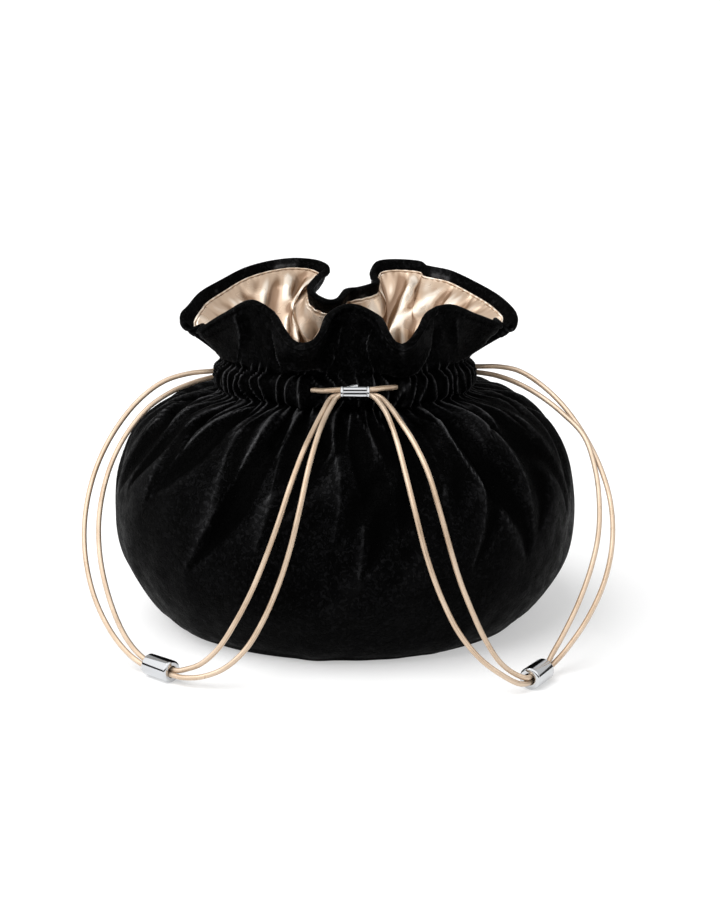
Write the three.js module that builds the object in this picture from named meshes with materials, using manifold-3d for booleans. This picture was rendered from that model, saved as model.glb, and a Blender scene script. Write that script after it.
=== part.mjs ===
// Makeup pouch: a round velvet drawstring bag with a satin lining, free cord strands and metal fittings.
// Millimetres, +Z up, and the front faces -Y. The origin is the middle of the flat base.
import * as THREE from 'three';
import { mergeVertices } from 'three/addons/utils/BufferGeometryUtils.js';
import Module from 'manifold-3d';

const wasm = await Module();
wasm.setup();

// Body
const belly_half_width = 106;
const belly_half_depth = 99.5;
const casing_foot_height = 106.7;

// Casing, the gathered tube of cloth that holds the cord
const casing_height = 13.8;
const casing_half_width = 59.8;
const casing_half_depth = 47.4;
const lower_stitch_pull = 2.8;
const upper_stitch_pull = 4.3;

// Ruffle and mouth
const ruffle_rise = 36;
const mouth_half_width = 79;
const mouth_half_depth = 62;
const hem_depth = 4.8;

// Cloth
const velvet_wall = 1.6;
const lining_wall = 1.0;
const cloth_gap = 0.3;
const channel_width = 5.2;
const gather_count = 36;
const gather_depth = 1.3;
const fold_depth = 2.2;
const lining_slack = 1.3;

// Cord and metal
const cord_diameter = 2.3;
const cord_hole_clearance = 0.45;
const cord_end_gap = 0.6;
const bead_length = 15;
const bead_diameter = 9.6;
const bead_bore = 5.4;
const bead_edge = 0.6;
const clasp_length = 12.4;
const clasp_diameter = 6.4;
const clasp_bore = 5.6;
const clasp_rim_width = 0.9;
const clasp_rim_rise = 0.2;
const clasp_edge = 0.15;
const clasp_place = [4.85, -51.95, 115.1];
const bead_left_place = [-77.75, -94.05];
const bead_left_end = [-72.1, -99.2];
const bead_right_place = [81.5, -101.4];
const bead_right_end = [77.7, -107.9];

// Each gather has a ridge column and a valley column, and a body fold takes two gathers.
const columns = 2 * gather_count;
const fold_columns = 4;
const quarter_columns = columns / 4;

// Body rows from the base up. Across and back are shares of the belly's half width and half depth,
// height is a share of the casing's foot height, fold and gather are shares of their depths.
const BODY_ROWS = [
  // name, across, back, height, fold, gather
  ['base edge', 0.72, 0.72, 0, 0, 0],
  ['foot', 0.815, 0.815, 0.055, 0.1, 0],
  ['lower side', 0.912, 0.912, 0.18, 0.2, 0],
  ['side', 0.976, 0.976, 0.315, 0.3, 0],
  ['belly', 1, 1, 0.51, 0.4, 0],
  ['upper side', 0.97, 0.97, 0.7, 0.7, 0],
  ['shoulder', 0.883, 0.875, 0.85, 1, 0.1],
  ['inner shoulder', 0.745, 0.72, 0.95, 1, 0.6],
];

// Casing rows: height is a share of the casing's height, pull a share of the stitch's pull inwards.
const CASING_ROWS = [
  // name, height, lower pull, upper pull, fold, gather
  ['lower stitch', 0, 1, 0, 0.35, 1],
  ['casing low', 0.22, 0, 0, 0, 0.5],
  ['casing high', 0.74, 0, 0, 0, 0.5],
  ['upper stitch', 1, 0, 1, 0, 1],
];

// Ruffle rows: up and out are shares of the way from the upper stitch to the rim.
const RUFFLE_ROWS = [
  // name, up, out, gather
  ['ruffle foot', 0.17, 0.13, 0.75],
  ['lower ruffle', 0.42, 0.34, 0.35],
  ['upper ruffle', 0.7, 0.64, 0.1],
  ['rim', 1, 1, 0],
];

// The rim seen from above, from the front round the right side. Across and back are shares of the
// mouth's half width and half depth, rise of the ruffle's rise, and hem of the hem's depth.
// The quarter marks are the rows that stand over the columns at the front, the sides and the back.
const RIM_ROWS = [
  // name, across, back, rise, hem
  ['front hill', 0.05, -0.53, 0.853, 0.3],
  ['front hill right side', 0.171, -0.677, 0.75, 0.3],
  ['right flute inner side', 0.239, -0.903, 0.578, 0.3],
  ['right flute', 0.324, -1.032, 0.5, 0.3],
  ['right flute outer side', 0.413, -0.903, 0.639, 0.3],
  ['right hill inner side', 0.482, -0.71, 0.794, 0.3],
  ['right hill', 0.601, -0.58, 0.831, 0.3],
  ['right hill outer side', 0.762, -0.355, 0.639, 0.35],
  ['right pleat outside', 0.861, -0.177, 0.5, 0.5],
  ['right pleat inside', 0.892, -0.048, 0.514, 0.7],
  ['right tip', 1.009, 0.0, 0.456, 0.9],
  ['right lobe low', 0.987, 0.129, 0.569, 1],
  ['right lobe side', 0.915, 0.323, 0.681, 1],
  ['right lobe shoulder', 0.79, 0.548, 0.794, 1],
  ['right lobe back', 0.648, 0.742, 0.894, 1],
  ['right lobe kink', 0.518, 0.84, 0.936, 1],
  ['right lobe top', 0.475, 0.919, 0.969, 1],
  ['right lobe middle', 0.29, 0.984, 0.983, 1],
  ['right lobe end', 0.173, 0.919, 0.969, 1],
  ['right fold wall', 0.148, 0.774, 0.886, 1],
  ['right fold turn', 0.172, 0.629, 0.819, 1],
  ['right fold bottom', 0.13, 0.565, 0.797, 1],
  ['middle right', 0.071, 0.516, 0.778, 1],
  ['middle', 0.006, 0.468, 0.772, 1],
  ['left fold rise', -0.046, 0.29, 0.692, 1],
  ['left fold bottom', -0.081, 0.274, 0.675, 1],
  ['left fold turn', -0.146, 0.323, 0.708, 1],
  ['left fold wall', -0.189, 0.419, 0.772, 1],
  ['left fold top', -0.139, 0.677, 0.858, 1],
  ['left lobe end', -0.087, 0.871, 0.914, 1],
  ['left lobe corner', -0.167, 0.968, 0.969, 1],
  ['left lobe middle', -0.308, 0.968, 1.003, 1],
  ['left lobe top', -0.457, 0.887, 0.992, 1],
  ['left lobe back', -0.614, 0.742, 0.936, 1],
  ['left lobe shoulder', -0.749, 0.548, 0.828, 1],
  ['left lobe side', -0.867, 0.323, 0.719, 1],
  ['left lobe low', -0.925, 0.129, 0.597, 1],
  ['left tip', -0.975, 0.01, 0.464, 0.9],
  ['left pleat inside', -0.872, -0.1, 0.5, 0.7],
  ['left pleat outside', -0.815, -0.2, 0.458, 0.5],
  ['left hill outer side', -0.681, -0.419, 0.683, 0.35],
  ['left hill', -0.516, -0.613, 0.9, 0.3],
  ['left hill inner side', -0.391, -0.742, 0.769, 0.3],
  ['left flute outer side', -0.305, -0.935, 0.553, 0.3],
  ['left flute', -0.222, -1.032, 0.522, 0.3],
  ['left flute inner side', -0.116, -0.903, 0.603, 0.3],
  ['front hill left side', -0.053, -0.677, 0.786, 0.3],
];

// Slow swells that make the body folds uneven, as shares of a fold's depth, going so many times round.
const FOLD_SWELLS = [
  // name, share, times round, phase
  ['broad swell', 0.3, 3, 0.7],
  ['short swell', 0.2, 7, 2],
];
const QUARTER_MARKS = ['front hill', 'right tip', 'middle', 'left tip'];

// Routes of the cord strands, chosen by hand. Each side strand leaves the casing at its side, arches
// down through the bead that lies on the surface, rises over the belly and ends in the clasp.
const STRANDS = {
  drawcord_left_upper: [
    [-55.05, 8, 113.8], [-56.1, 4.6, 113.8], [-58.4, 2.2, 113.9], [-62.5, 0.6, 113.9], [-71, -1.1, 113.3],
    [-82.2, -6, 110.6], [-93.4, -14, 103.1], [-103.8, -25, 90.5], [-110.9, -35.3, 75.7],
    [-114.3, -46, 58.8], [-113.5, -56, 43], [-108.5, -67, 27.3], [-100.5, -76.2, 14.6],
    [-92.2, -83.6, 7.2], [-85.4, -88.3, 3.92], [-81.3, -92, 3.92], [-75.4, -97.4, 3.92],
    [-71.3, -101.1, 3.92], [-67, -104, 4.1], [-59.3, -106, 5.2], [-50, -107, 9.1], [-41, -107, 17.3],
    [-33.5, -106.3, 29.6], [-27, -104.9, 44.5], [-21.9, -103, 60.2], [-18, -99.6, 76],
    [-14.4, -90.8, 91.4], [-10.5, -76.5, 102.7], [-7.1, -63.5, 108.6], [-4.5, -56.7, 112],
    [-3.2, -54.2, 113.6], [-1.4, -53.15, 114.4], [1, -53.15, 114.4], [4.65, -53.15, 114.4],
  ],
  drawcord_left_lower: [
    [-55.05, 8, 111.3], [-56.1, 4.6, 111.3], [-58.4, 2.2, 111.3], [-61.8, 0, 111], [-68.7, -4.4, 109.8],
    [-78.7, -12, 106.8], [-88.9, -21.6, 100.9], [-98.2, -31.5, 89.8], [-104.4, -40.5, 76.5],
    [-107.5, -50.5, 60], [-106.5, -60.2, 44.5], [-102, -70, 29], [-95.3, -78.6, 15.7],
    [-89.3, -83.6, 8.8], [-84.2, -87, 5.68], [-80.1, -90.7, 5.68], [-74.2, -96.1, 5.68],
    [-70.1, -99.8, 5.68], [-66, -101, 6.8], [-59.8, -102.9, 9.8], [-52, -104, 17.4],
    [-44.5, -104, 29.4], [-38.2, -103.2, 41.6], [-32.3, -101.8, 55.6], [-27, -99.8, 70],
    [-22.2, -94.6, 84.1], [-16.8, -83.3, 96.8], [-12.2, -70, 104.2], [-9, -60.8, 108.7],
    [-5.9, -53.2, 112.7], [-3.5, -51.1, 113.9], [-1.4, -50.75, 114.4], [1, -50.75, 114.4],
    [4.65, -50.75, 114.4],
  ],
  drawcord_right_upper: [
    [55.05, 8, 115.4], [56.1, 4.6, 115.6], [58.4, 2.2, 115.9], [62.5, 0.7, 116.2], [70, -0.6, 116.4],
    [79, -3.9, 115.2], [88.3, -10, 110.5], [98.1, -19.4, 102.5], [107, -31, 91], [113.5, -41, 78.2],
    [116.9, -51.5, 65.2], [116.7, -62, 50.5], [112.6, -71, 35.7], [104.8, -79.3, 21.8],
    [95.6, -85.8, 10.5], [90.2, -89.6, 5.7], [86.3, -93.2, 3.55], [83.5, -98, 3.55],
    [79.5, -104.8, 3.55], [76.7, -109.6, 3.55], [72.6, -112.9, 4.9], [66, -114.5, 9],
    [57, -113.4, 15.6], [48.1, -110.5, 26], [40.6, -106.4, 40.4], [34.6, -102.6, 56.8],
    [30, -99, 74.2], [26, -90.7, 89], [22.3, -78.5, 100.8], [18.6, -65.4, 108.4],
    [15.2, -57.2, 112.2], [12.9, -54, 113.8], [11.1, -53.15, 114.4], [8.7, -53.15, 114.4],
    [5.05, -53.15, 114.4],
  ],
  drawcord_right_lower: [
    [55.05, 8, 112.9], [56.1, 4.6, 113.1], [58.4, 2.2, 113.3], [62.3, 0, 113.4], [69, -3.2, 112.8],
    [78, -9, 110.6], [87.6, -16, 106.4], [97.4, -24.4, 100], [106.4, -33.3, 91.5],
    [110.8, -42.8, 78.2], [111.8, -52.3, 65], [110.8, -59.2, 53], [107.1, -67, 40.5],
    [100.9, -76, 27.3], [94.5, -83, 16.7], [89.3, -88.5, 9.4], [86.3, -93.2, 6.05],
    [83.5, -98, 6.05], [79.5, -104.8, 6.05], [76.7, -109.6, 6.05], [71.8, -110.6, 8],
    [65.4, -110.7, 13.1], [59.2, -108.6, 22.2], [53.4, -105.8, 34.3], [48.4, -102.6, 46.7],
    [44.3, -99.6, 60], [40.3, -96, 74], [35.4, -89.6, 89.2], [29.8, -81, 99.8],
    [24.3, -71, 106.6], [19.6, -59.2, 110.9], [15.8, -52.6, 113.3], [13.2, -51.1, 114.1],
    [11.1, -50.75, 114.4], [8.7, -50.75, 114.4], [5.05, -50.75, 114.4],
  ],
  drawcord_front: [
    [-49, -20.4, 113.6], [-40, -30.4, 113.6], [-29, -37.3, 113.7], [-20.5, -41.2, 114.4],
    [-14, -46.2, 115.2], [-9, -49.6, 115.6], [-4.3, -51.6, 116.3], [-0.5, -51.95, 116.5],
    [4.85, -51.95, 116.5], [10.2, -51.95, 116.5], [13.9, -51.3, 116.7], [18.2, -49, 116.7],
    [22.3, -45.4, 116.2], [26.5, -41.2, 115.2], [31, -36.9, 114.2], [40, -30.5, 113.7],
    [49, -20.6, 113.6],
  ],
};

// The stretches of the velvet's holes, between two of a route's points given by their numbers
const side_hole = [0, 4];
const front_left_hole = [3, 5];
const front_right_hole = [11.5, 14];

// Facets
const hidden_steps = 10;
const hole_steps = 6;
const cord_sides = 8;
const metal_sides = 12;
const samples_per_row = 20;
const merge_distance = 1e-4;

// Materials
const velvet = { color: 0x0b0b0c, roughness: 0.95, metalness: 0 };
const satin = { color: 0xd9bc9c, roughness: 0.35, metalness: 0 };
const cord = { color: 0xcda98a, roughness: 0.5, metalness: 0 };
const chrome = { color: 0xd8dadd, roughness: 0.12, metalness: 1 };

// A point on an ellipse round the pouch. The angle starts at the front and turns towards +X.
function onEllipse(half_width, half_depth, height, angle) {
  return new THREE.Vector3(half_width * Math.sin(angle), -half_depth * Math.cos(angle), height);
}

const rim_curve = new THREE.CatmullRomCurve3(
  RIM_ROWS.map(([, across, back, rise]) => new THREE.Vector3(
    across * mouth_half_width,
    back * mouth_half_depth,
    casing_foot_height + casing_height + rise * ruffle_rise,
  )),
  true,
  'centripetal',
);
const rim_samples = RIM_ROWS.length * samples_per_row;
const rim_lengths = [0];
for (let k = 1; k <= rim_samples; k += 1) {
  const step = rim_curve.getPoint(k / rim_samples).distanceTo(rim_curve.getPoint((k - 1) / rim_samples));
  rim_lengths.push(rim_lengths[k - 1] + step);
}
const mark_lengths = QUARTER_MARKS.map(
  (mark) => rim_lengths[samples_per_row * RIM_ROWS.findIndex(([name]) => name === mark)],
);
mark_lengths.push(rim_lengths[rim_samples]);

// The rim curve's parameter at a column: the columns of each quarter are evenly spaced along the edge.
function rimParameter(column) {
  const turned = ((column % columns) + columns) % columns;
  const quarter = Math.floor(turned / quarter_columns);
  const share = turned / quarter_columns - quarter;
  const wanted = mark_lengths[quarter] + share * (mark_lengths[quarter + 1] - mark_lengths[quarter]);
  let k = 1;
  while (rim_lengths[k] < wanted) {
    k += 1;
  }
  const part = (wanted - rim_lengths[k - 1]) / (rim_lengths[k] - rim_lengths[k - 1]);
  return (k - 1 + part) / rim_samples;
}

function hemShare(column) {
  const place = rimParameter(column) * RIM_ROWS.length;
  const row = Math.floor(place) % RIM_ROWS.length;
  const next = (row + 1) % RIM_ROWS.length;
  return THREE.MathUtils.lerp(RIM_ROWS[row][4], RIM_ROWS[next][4], place - Math.floor(place));
}

const column_angle = (column) => (2 * Math.PI * column) / columns;

// The smooth form of the pouch without gathers, row by row from the base to the rim.
const rows = [];
for (const [name, across, back, height, fold, gather] of BODY_ROWS) {
  const half_width = across * belly_half_width;
  const half_depth = back * belly_half_depth;
  const level = height * casing_foot_height;
  const point = (column) => onEllipse(half_width, half_depth, level, column_angle(column));
  rows.push({ name, fold, gather, point });
}
for (const [name, height, lower, upper, fold, gather] of CASING_ROWS) {
  const pull = lower * lower_stitch_pull + upper * upper_stitch_pull;
  const level = casing_foot_height + height * casing_height;
  const point = (column) => onEllipse(
    casing_half_width - pull,
    casing_half_depth - pull,
    level,
    column_angle(column),
  );
  rows.push({ name, fold, gather, point });
}
const stitch_point = rows[rows.length - 1].point;
for (const [name, up, out, gather] of RUFFLE_ROWS) {
  const point = (column) => {
    const foot = stitch_point(column);
    const rim = rim_curve.getPoint(rimParameter(column));
    return new THREE.Vector3(
      THREE.MathUtils.lerp(foot.x, rim.x, out),
      THREE.MathUtils.lerp(foot.y, rim.y, out),
      THREE.MathUtils.lerp(foot.z, rim.z, up),
    );
  };
  rows.push({ name, fold: 0, gather, point });
}
const row_of = (name) => rows.findIndex((row) => row.name === name);

// Outward normals of a grid of points, from the neighbours along its rows and columns.
function gridNormals(grid) {
  return grid.map((row, r) => row.map((_, c) => {
    const along = row[(c + 1) % columns].clone().sub(row[(c - 1 + columns) % columns]);
    const above = grid[Math.min(r + 1, grid.length - 1)][c];
    const below = grid[Math.max(r - 1, 0)][c];
    return along.cross(above.clone().sub(below)).normalize();
  }));
}

// How strong each body fold is, so that no two neighbours are alike.
function foldStrength(column) {
  const angle = column_angle(column);
  const swells = FOLD_SWELLS.map(([, share, times, phase]) => share * Math.sin(times * angle + phase));
  return swells.reduce((sum, swell) => sum + swell, 1);
}

const foldWave = (column) => Math.cos((2 * Math.PI * column) / fold_columns) * foldStrength(column);
const gatherWave = (column) => (column % 2 === 0 ? 1 : -1);

const column_list = Array.from({ length: columns }, (_, column) => column);
const smooth_grid = rows.map((row) => column_list.map((column) => row.point(column)));
const smooth_normals = gridNormals(smooth_grid);
const outer_grid = smooth_grid.map((points, r) => points.map((point, column) => {
  const folds = fold_depth * rows[r].fold * foldWave(column);
  const gathers = gather_depth * rows[r].gather * gatherWave(column);
  return point.clone().addScaledVector(smooth_normals[r][column], folds + gathers);
}));
const outer_normals = gridNormals(outer_grid);

// A ring of points at a depth below the outer face.
function sunkRing(row, depth) {
  return outer_grid[row].map(
    (point, column) => point.clone().addScaledVector(outer_normals[row][column], -depth),
  );
}

// A ring below the rim, a way down the face, at a depth below the outer face.
function ringBelowRim(way, depth) {
  const rim = rows.length - 1;
  return outer_grid[rim].map((point, column) => {
    const down = outer_grid[rim - 1][column].clone().sub(point);
    const length = down.length();
    const share = (hem_depth * hemShare(column) + way) / length;
    const normal = outer_normals[rim][column].clone();
    normal.lerp(outer_normals[rim - 1][column], share).normalize();
    return point.clone().addScaledVector(down, share).addScaledVector(normal, -depth);
  });
}

// A floor ring: as a sunk ring, but all of it on one level.
function floorRing(depth) {
  return sunkRing(0, depth).map((point) => new THREE.Vector3(point.x, point.y, depth));
}

// A closed shell from rings of points. It starts at a middle point below the first ring and ends at
// one above the last. From the ring numbered turn on, the rings run down the inside.
function shellGeometry(start, rings, end, turn) {
  const points = [start, ...rings.flat(), end];
  const index = [];
  const at = (ring, column) => 1 + ring * columns + (column % columns);
  for (const column of column_list) {
    index.push(0, at(0, column + 1), at(0, column));
    for (let ring = 0; ring < rings.length - 1; ring += 1) {
      const near = at(ring, column);
      const side = at(ring, column + 1);
      const far = at(ring + 1, column);
      const corner = at(ring + 1, column + 1);
      if (ring < turn) {
        index.push(near, side, corner, near, corner, far);
      } else {
        index.push(near, side, far, side, corner, far);
      }
    }
    index.push(at(rings.length - 1, column), at(rings.length - 1, column + 1), points.length - 1);
  }
  const geometry = new THREE.BufferGeometry();
  const numbers = points.flatMap((point) => point.toArray());
  geometry.setAttribute('position', new THREE.Float32BufferAttribute(numbers, 3));
  geometry.setIndex(index);
  return geometry;
}

// A route through chosen points. Its sections stand at the points, which lie closer where it bends.
class Route extends THREE.CatmullRomCurve3 {
  constructor(points) {
    super(points.map((p) => new THREE.Vector3(...p)), false, 'centripetal');
  }

  getSpacedPoints(steps) {
    return this.getPoints(steps);
  }

  getTangentAt(share, target) {
    return this.getTangent(share, target);
  }
}

// The stretch of a route between two of its points, given by their numbers.
class Stretch extends Route {
  constructor(route, from, to) {
    super([]);
    this.route = route;
    this.from = from;
    this.to = to;
  }

  getPoint(t, target = new THREE.Vector3()) {
    const place = this.from + t * (this.to - this.from);
    return this.route.getPoint(place / (this.route.points.length - 1), target);
  }
}

function tubeGeometry(curve, radius, steps) {
  const section = new THREE.Shape();
  for (let k = 0; k < cord_sides; k += 1) {
    const angle = (2 * Math.PI * k) / cord_sides;
    const x = radius * Math.cos(angle);
    const y = radius * Math.sin(angle);
    if (k === 0) {
      section.moveTo(x, y);
    } else {
      section.lineTo(x, y);
    }
  }
  section.closePath();
  return new THREE.ExtrudeGeometry(section, { steps, extrudePath: curve, bevelEnabled: false });
}

function toSolid(geometry) {
  const bare = geometry.clone();
  bare.deleteAttribute('normal');
  bare.deleteAttribute('uv');
  const merged = mergeVertices(bare, merge_distance);
  return new wasm.Manifold(new wasm.Mesh({
    numProp: 3,
    vertProperties: new Float32Array(merged.attributes.position.array),
    triVerts: new Uint32Array(merged.index.array),
  }));
}

function toGeometry(solid) {
  const mesh = solid.getMesh();
  const geometry = new THREE.BufferGeometry();
  const numbers = new Float32Array(mesh.vertProperties);
  geometry.setAttribute('position', new THREE.BufferAttribute(numbers, 3));
  geometry.setIndex(new THREE.BufferAttribute(new Uint32Array(mesh.triVerts), 1));
  return geometry;
}

// A turned tube about the Y axis, from the outline of half its section.
function turnedTube(length, diameter, bore, edge, rim_width = 0, rim_rise = 0) {
  const half = length / 2;
  const outer = diameter / 2;
  const inner = bore / 2;
  const rim = outer + rim_rise;
  const waist = rim_rise === 0 ? [] : [
    [rim, -half + rim_width],
    [outer, -half + rim_width + rim_rise],
    [outer, half - rim_width - rim_rise],
    [rim, half - rim_width],
  ];
  const outline = [
    [inner, -half],
    [rim - edge, -half],
    [rim, -half + edge],
    ...waist,
    [rim, half - edge],
    [rim - edge, half],
    [inner, half],
    [inner, -half],
  ];
  return new THREE.LatheGeometry(outline.map(([x, y]) => new THREE.Vector2(x, y)), metal_sides);
}

const pouch = new THREE.Group();

function addMesh(name, geometry, finish) {
  const mesh = new THREE.Mesh(geometry, new THREE.MeshStandardMaterial(finish));
  mesh.name = name;
  pouch.add(mesh);
  return mesh;
}

// Velvet shell: up the outside, over the rim, down the hem and down the inside
const rim_row = row_of('rim');
const hem_thickness = 2 * velvet_wall;
const inside_rows = rows.map((_, r) => r).filter((r) => r > 0 && r < rim_row).reverse();
const velvet_rings = [
  ...outer_grid,
  sunkRing(rim_row, hem_thickness),
  ringBelowRim(0, hem_thickness),
  ringBelowRim(cloth_gap, velvet_wall),
  ...inside_rows.map((r) => sunkRing(r, velvet_wall)),
  floorRing(velvet_wall),
];
const velvet_geometry = shellGeometry(
  new THREE.Vector3(0, 0, 0),
  velvet_rings,
  new THREE.Vector3(0, 0, velvet_wall),
  rows.length,
);

// Lining: loose below the casing, so it lies inside the deepest folds there, and against the velvet
// at the stitch rows and up the ruffle. Between the stitch rows it leaves the cord's channel open.
const lining_start = velvet_wall + cloth_gap;
function liningRing(row, extra) {
  const loose = row < row_of('lower stitch');
  const slack = lining_slack * fold_depth * rows[row].fold + gather_depth * rows[row].gather;
  return sunkRing(row, lining_start + extra + (loose ? slack : 0));
}
const channelRing = (row, extra) => sunkRing(row, velvet_wall + channel_width + extra);
const lining_body_rows = ['foot', 'upper side', 'shoulder', 'inner shoulder', 'lower stitch'];
const lining_ruffle_rows = ['upper stitch', 'ruffle foot', 'lower ruffle', 'upper ruffle'];
const lining_face = (extra) => [
  ...lining_body_rows.map((name) => liningRing(row_of(name), extra)),
  channelRing(row_of('casing low'), extra),
  channelRing(row_of('casing high'), extra),
  ...lining_ruffle_rows.map((name) => liningRing(row_of(name), extra)),
  ringBelowRim(2 * cloth_gap, lining_start + extra),
];
const lining_outside = lining_face(0);
const lining_inside = lining_face(lining_wall).reverse();
const lining_geometry = shellGeometry(
  new THREE.Vector3(0, 0, lining_start),
  [floorRing(lining_start), ...lining_outside, ...lining_inside, floorRing(lining_start + lining_wall)],
  new THREE.Vector3(0, 0, lining_start + lining_wall),
  lining_outside.length,
);

// Cord strands
const cord_radius = cord_diameter / 2;
const routes = {};
for (const [name, points] of Object.entries(STRANDS)) {
  routes[name] = new Route(points);
}

// The hidden strands run round the back in the channel, against the velvet, from the right side
// strands' ends to the left ones'.
const channel_inset = velvet_wall + cord_hole_clearance + cord_radius + gather_depth / 2;
const channel_half_width = casing_half_width - channel_inset;
const channel_half_depth = casing_half_depth - channel_inset;
function hiddenRoute(right_end, left_end) {
  const end_angle = Math.atan2(right_end[0] / channel_half_width, -right_end[1] / channel_half_depth);
  const first = end_angle + cord_end_gap / channel_half_depth;
  const points = [];
  for (let k = 0; k <= hidden_steps; k += 1) {
    const share = k / hidden_steps;
    const level = THREE.MathUtils.lerp(right_end[2], left_end[2], share);
    const angle = THREE.MathUtils.lerp(first, 2 * Math.PI - first, share);
    points.push(onEllipse(channel_half_width, channel_half_depth, level, angle).toArray());
  }
  return new Route(points);
}
for (const level of ['upper', 'lower']) {
  routes[`channel_cord_${level}`] = hiddenRoute(
    STRANDS[`drawcord_right_${level}`][0],
    STRANDS[`drawcord_left_${level}`][0],
  );
}

// Holes in the velvet follow the strands that pass through them, between two of their points.
const hole_radius = cord_radius + cord_hole_clearance;
const holes = [
  ['drawcord_left_upper', side_hole],
  ['drawcord_left_lower', side_hole],
  ['drawcord_right_upper', side_hole],
  ['drawcord_right_lower', side_hole],
  ['drawcord_front', front_left_hole],
  ['drawcord_front', front_right_hole],
];
let velvet_solid = toSolid(velvet_geometry);
for (const [name, [from, to]] of holes) {
  const hole = tubeGeometry(new Stretch(routes[name], from, to), hole_radius, hole_steps);
  velvet_solid = velvet_solid.subtract(toSolid(hole));
}

addMesh('velvet_shell', toGeometry(velvet_solid), velvet);
addMesh('satin_lining', lining_geometry, satin);
for (const [name, route] of Object.entries(routes)) {
  addMesh(name, tubeGeometry(route, cord_radius, route.points.length - 1), cord);
}

// Beads lie on the surface, and each turns towards its own end point.
for (const [name, place, end] of [
  ['cord_bead_left', bead_left_place, bead_left_end],
  ['cord_bead_right', bead_right_place, bead_right_end],
]) {
  const bead = addMesh(name, turnedTube(bead_length, bead_diameter, bead_bore, bead_edge), chrome);
  const direction = new THREE.Vector3(end[0] - place[0], end[1] - place[1], 0).normalize();
  bead.position.set(place[0], place[1], bead_diameter / 2);
  bead.quaternion.setFromUnitVectors(new THREE.Vector3(0, 1, 0), direction);
}

const clasp = addMesh(
  'front_clasp',
  turnedTube(clasp_length, clasp_diameter, clasp_bore, clasp_edge, clasp_rim_width, clasp_rim_rise),
  chrome,
);
clasp.position.set(...clasp_place);
clasp.rotation.z = Math.PI / 2;

export default pouch;
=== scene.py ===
# %% [markdown]
# # A velvet drawstring pouch
# The pouch stands open on a pale table. It is made of five kinds of thing: a black velvet shell, a
# champagne satin lining, waxed round cord, two metal cord beads and a small rolled clasp.
# The solids of the model are loaded first. They fix where everything is, and every piece below is
# built in the same frame, in metres, with +Z up and the front facing -Y.

# %% Load the solids
import math
import bmesh
import bpy
import numpy as np
from mathutils import Matrix, Vector


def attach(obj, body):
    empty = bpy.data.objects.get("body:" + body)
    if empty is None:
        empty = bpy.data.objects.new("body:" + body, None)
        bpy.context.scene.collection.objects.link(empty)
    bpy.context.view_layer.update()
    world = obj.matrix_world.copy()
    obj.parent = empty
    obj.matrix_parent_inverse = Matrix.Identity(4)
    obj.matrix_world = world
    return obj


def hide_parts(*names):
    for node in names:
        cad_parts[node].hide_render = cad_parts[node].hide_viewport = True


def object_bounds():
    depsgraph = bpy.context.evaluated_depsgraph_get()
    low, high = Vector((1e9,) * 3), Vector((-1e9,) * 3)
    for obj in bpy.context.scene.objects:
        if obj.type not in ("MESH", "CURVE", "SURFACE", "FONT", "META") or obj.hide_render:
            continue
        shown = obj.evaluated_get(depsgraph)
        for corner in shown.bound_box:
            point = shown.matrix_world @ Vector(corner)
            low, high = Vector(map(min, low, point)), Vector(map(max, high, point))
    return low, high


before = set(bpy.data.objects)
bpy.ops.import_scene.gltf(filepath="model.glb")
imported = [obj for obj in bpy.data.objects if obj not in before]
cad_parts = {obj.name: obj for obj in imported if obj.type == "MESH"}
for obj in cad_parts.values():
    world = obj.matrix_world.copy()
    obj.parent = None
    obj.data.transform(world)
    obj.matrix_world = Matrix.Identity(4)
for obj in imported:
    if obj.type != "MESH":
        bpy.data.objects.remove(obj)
solid_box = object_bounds()
corners = [[round(v, 4) for v in corner] for corner in solid_box]
print("solids:", len(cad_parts), "box:", corners)

# %% [markdown]
# ## Two small helpers
# Everything that is seen ends as an object in the scene, and most of it starts as a bmesh, which is
# Blender's mesh for editing. Both steps are the same for every piece, so they are written once.

# %% Helpers
def put_in_scene(name, data):
    """A new object with this data, linked into the scene."""
    thing = bpy.data.objects.new(name, data)
    bpy.context.scene.collection.objects.link(thing)
    return thing


def mesh_data(mesh, name):
    """The bmesh written out as mesh data."""
    data = bpy.data.meshes.new(name)
    mesh.to_mesh(data)
    mesh.free()
    return data


print("helpers ready")

# %% [markdown]
# ## Camera
# The photograph was taken with a long lens, a little above the pouch and straight from the front.
# A long lens keeps the ellipse of the mouth flat, so its tilt matters more than its distance.

# %% Camera
CAMERA_TILT = 76.2  # degrees up from looking straight down
lens = bpy.data.cameras.new("camera")
lens.lens = 80.3
lens.sensor_width = 36
lens.clip_start = 0.05
camera = put_in_scene("camera", lens)
camera.location = (0.007, -0.900, 0.29806)
camera.rotation_euler = (math.radians(CAMERA_TILT), 0, 0)
bpy.context.scene.camera = camera
place = tuple(round(v, 3) for v in camera.location)
print("camera at", place, "looks down", round(90 - CAMERA_TILT, 1), "degrees")

# %% [markdown]
# ## A way to write materials
# A material is a graph of nodes. Written out link by link it is hard to read, so one small class
# wraps an output socket and lets Python's own operators add the Math nodes. Everything else comes
# from one method that takes a node's type, its settings and what goes into its sockets.

# %% Material helper
class Wire:
    """One output socket. Sums and products with it add Math nodes."""

    def __init__(self, finish, socket):
        self.finish = finish
        self.socket = socket

    def join(self, operation, first, second):
        settings = {"operation": operation}
        return self.finish.node("ShaderNodeMath", settings, {0: first, 1: second}).out(0)

    def __add__(self, other):
        return self.join("ADD", self, other)

    __radd__ = __add__

    def __sub__(self, other):
        return self.join("SUBTRACT", self, other)

    def __rsub__(self, other):
        return self.join("SUBTRACT", other, self)

    def __mul__(self, other):
        return self.join("MULTIPLY", self, other)

    __rmul__ = __mul__

    def __abs__(self):
        return self.finish.node("ShaderNodeMath", {"operation": "ABSOLUTE"}, {0: self}).out(0)


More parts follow.
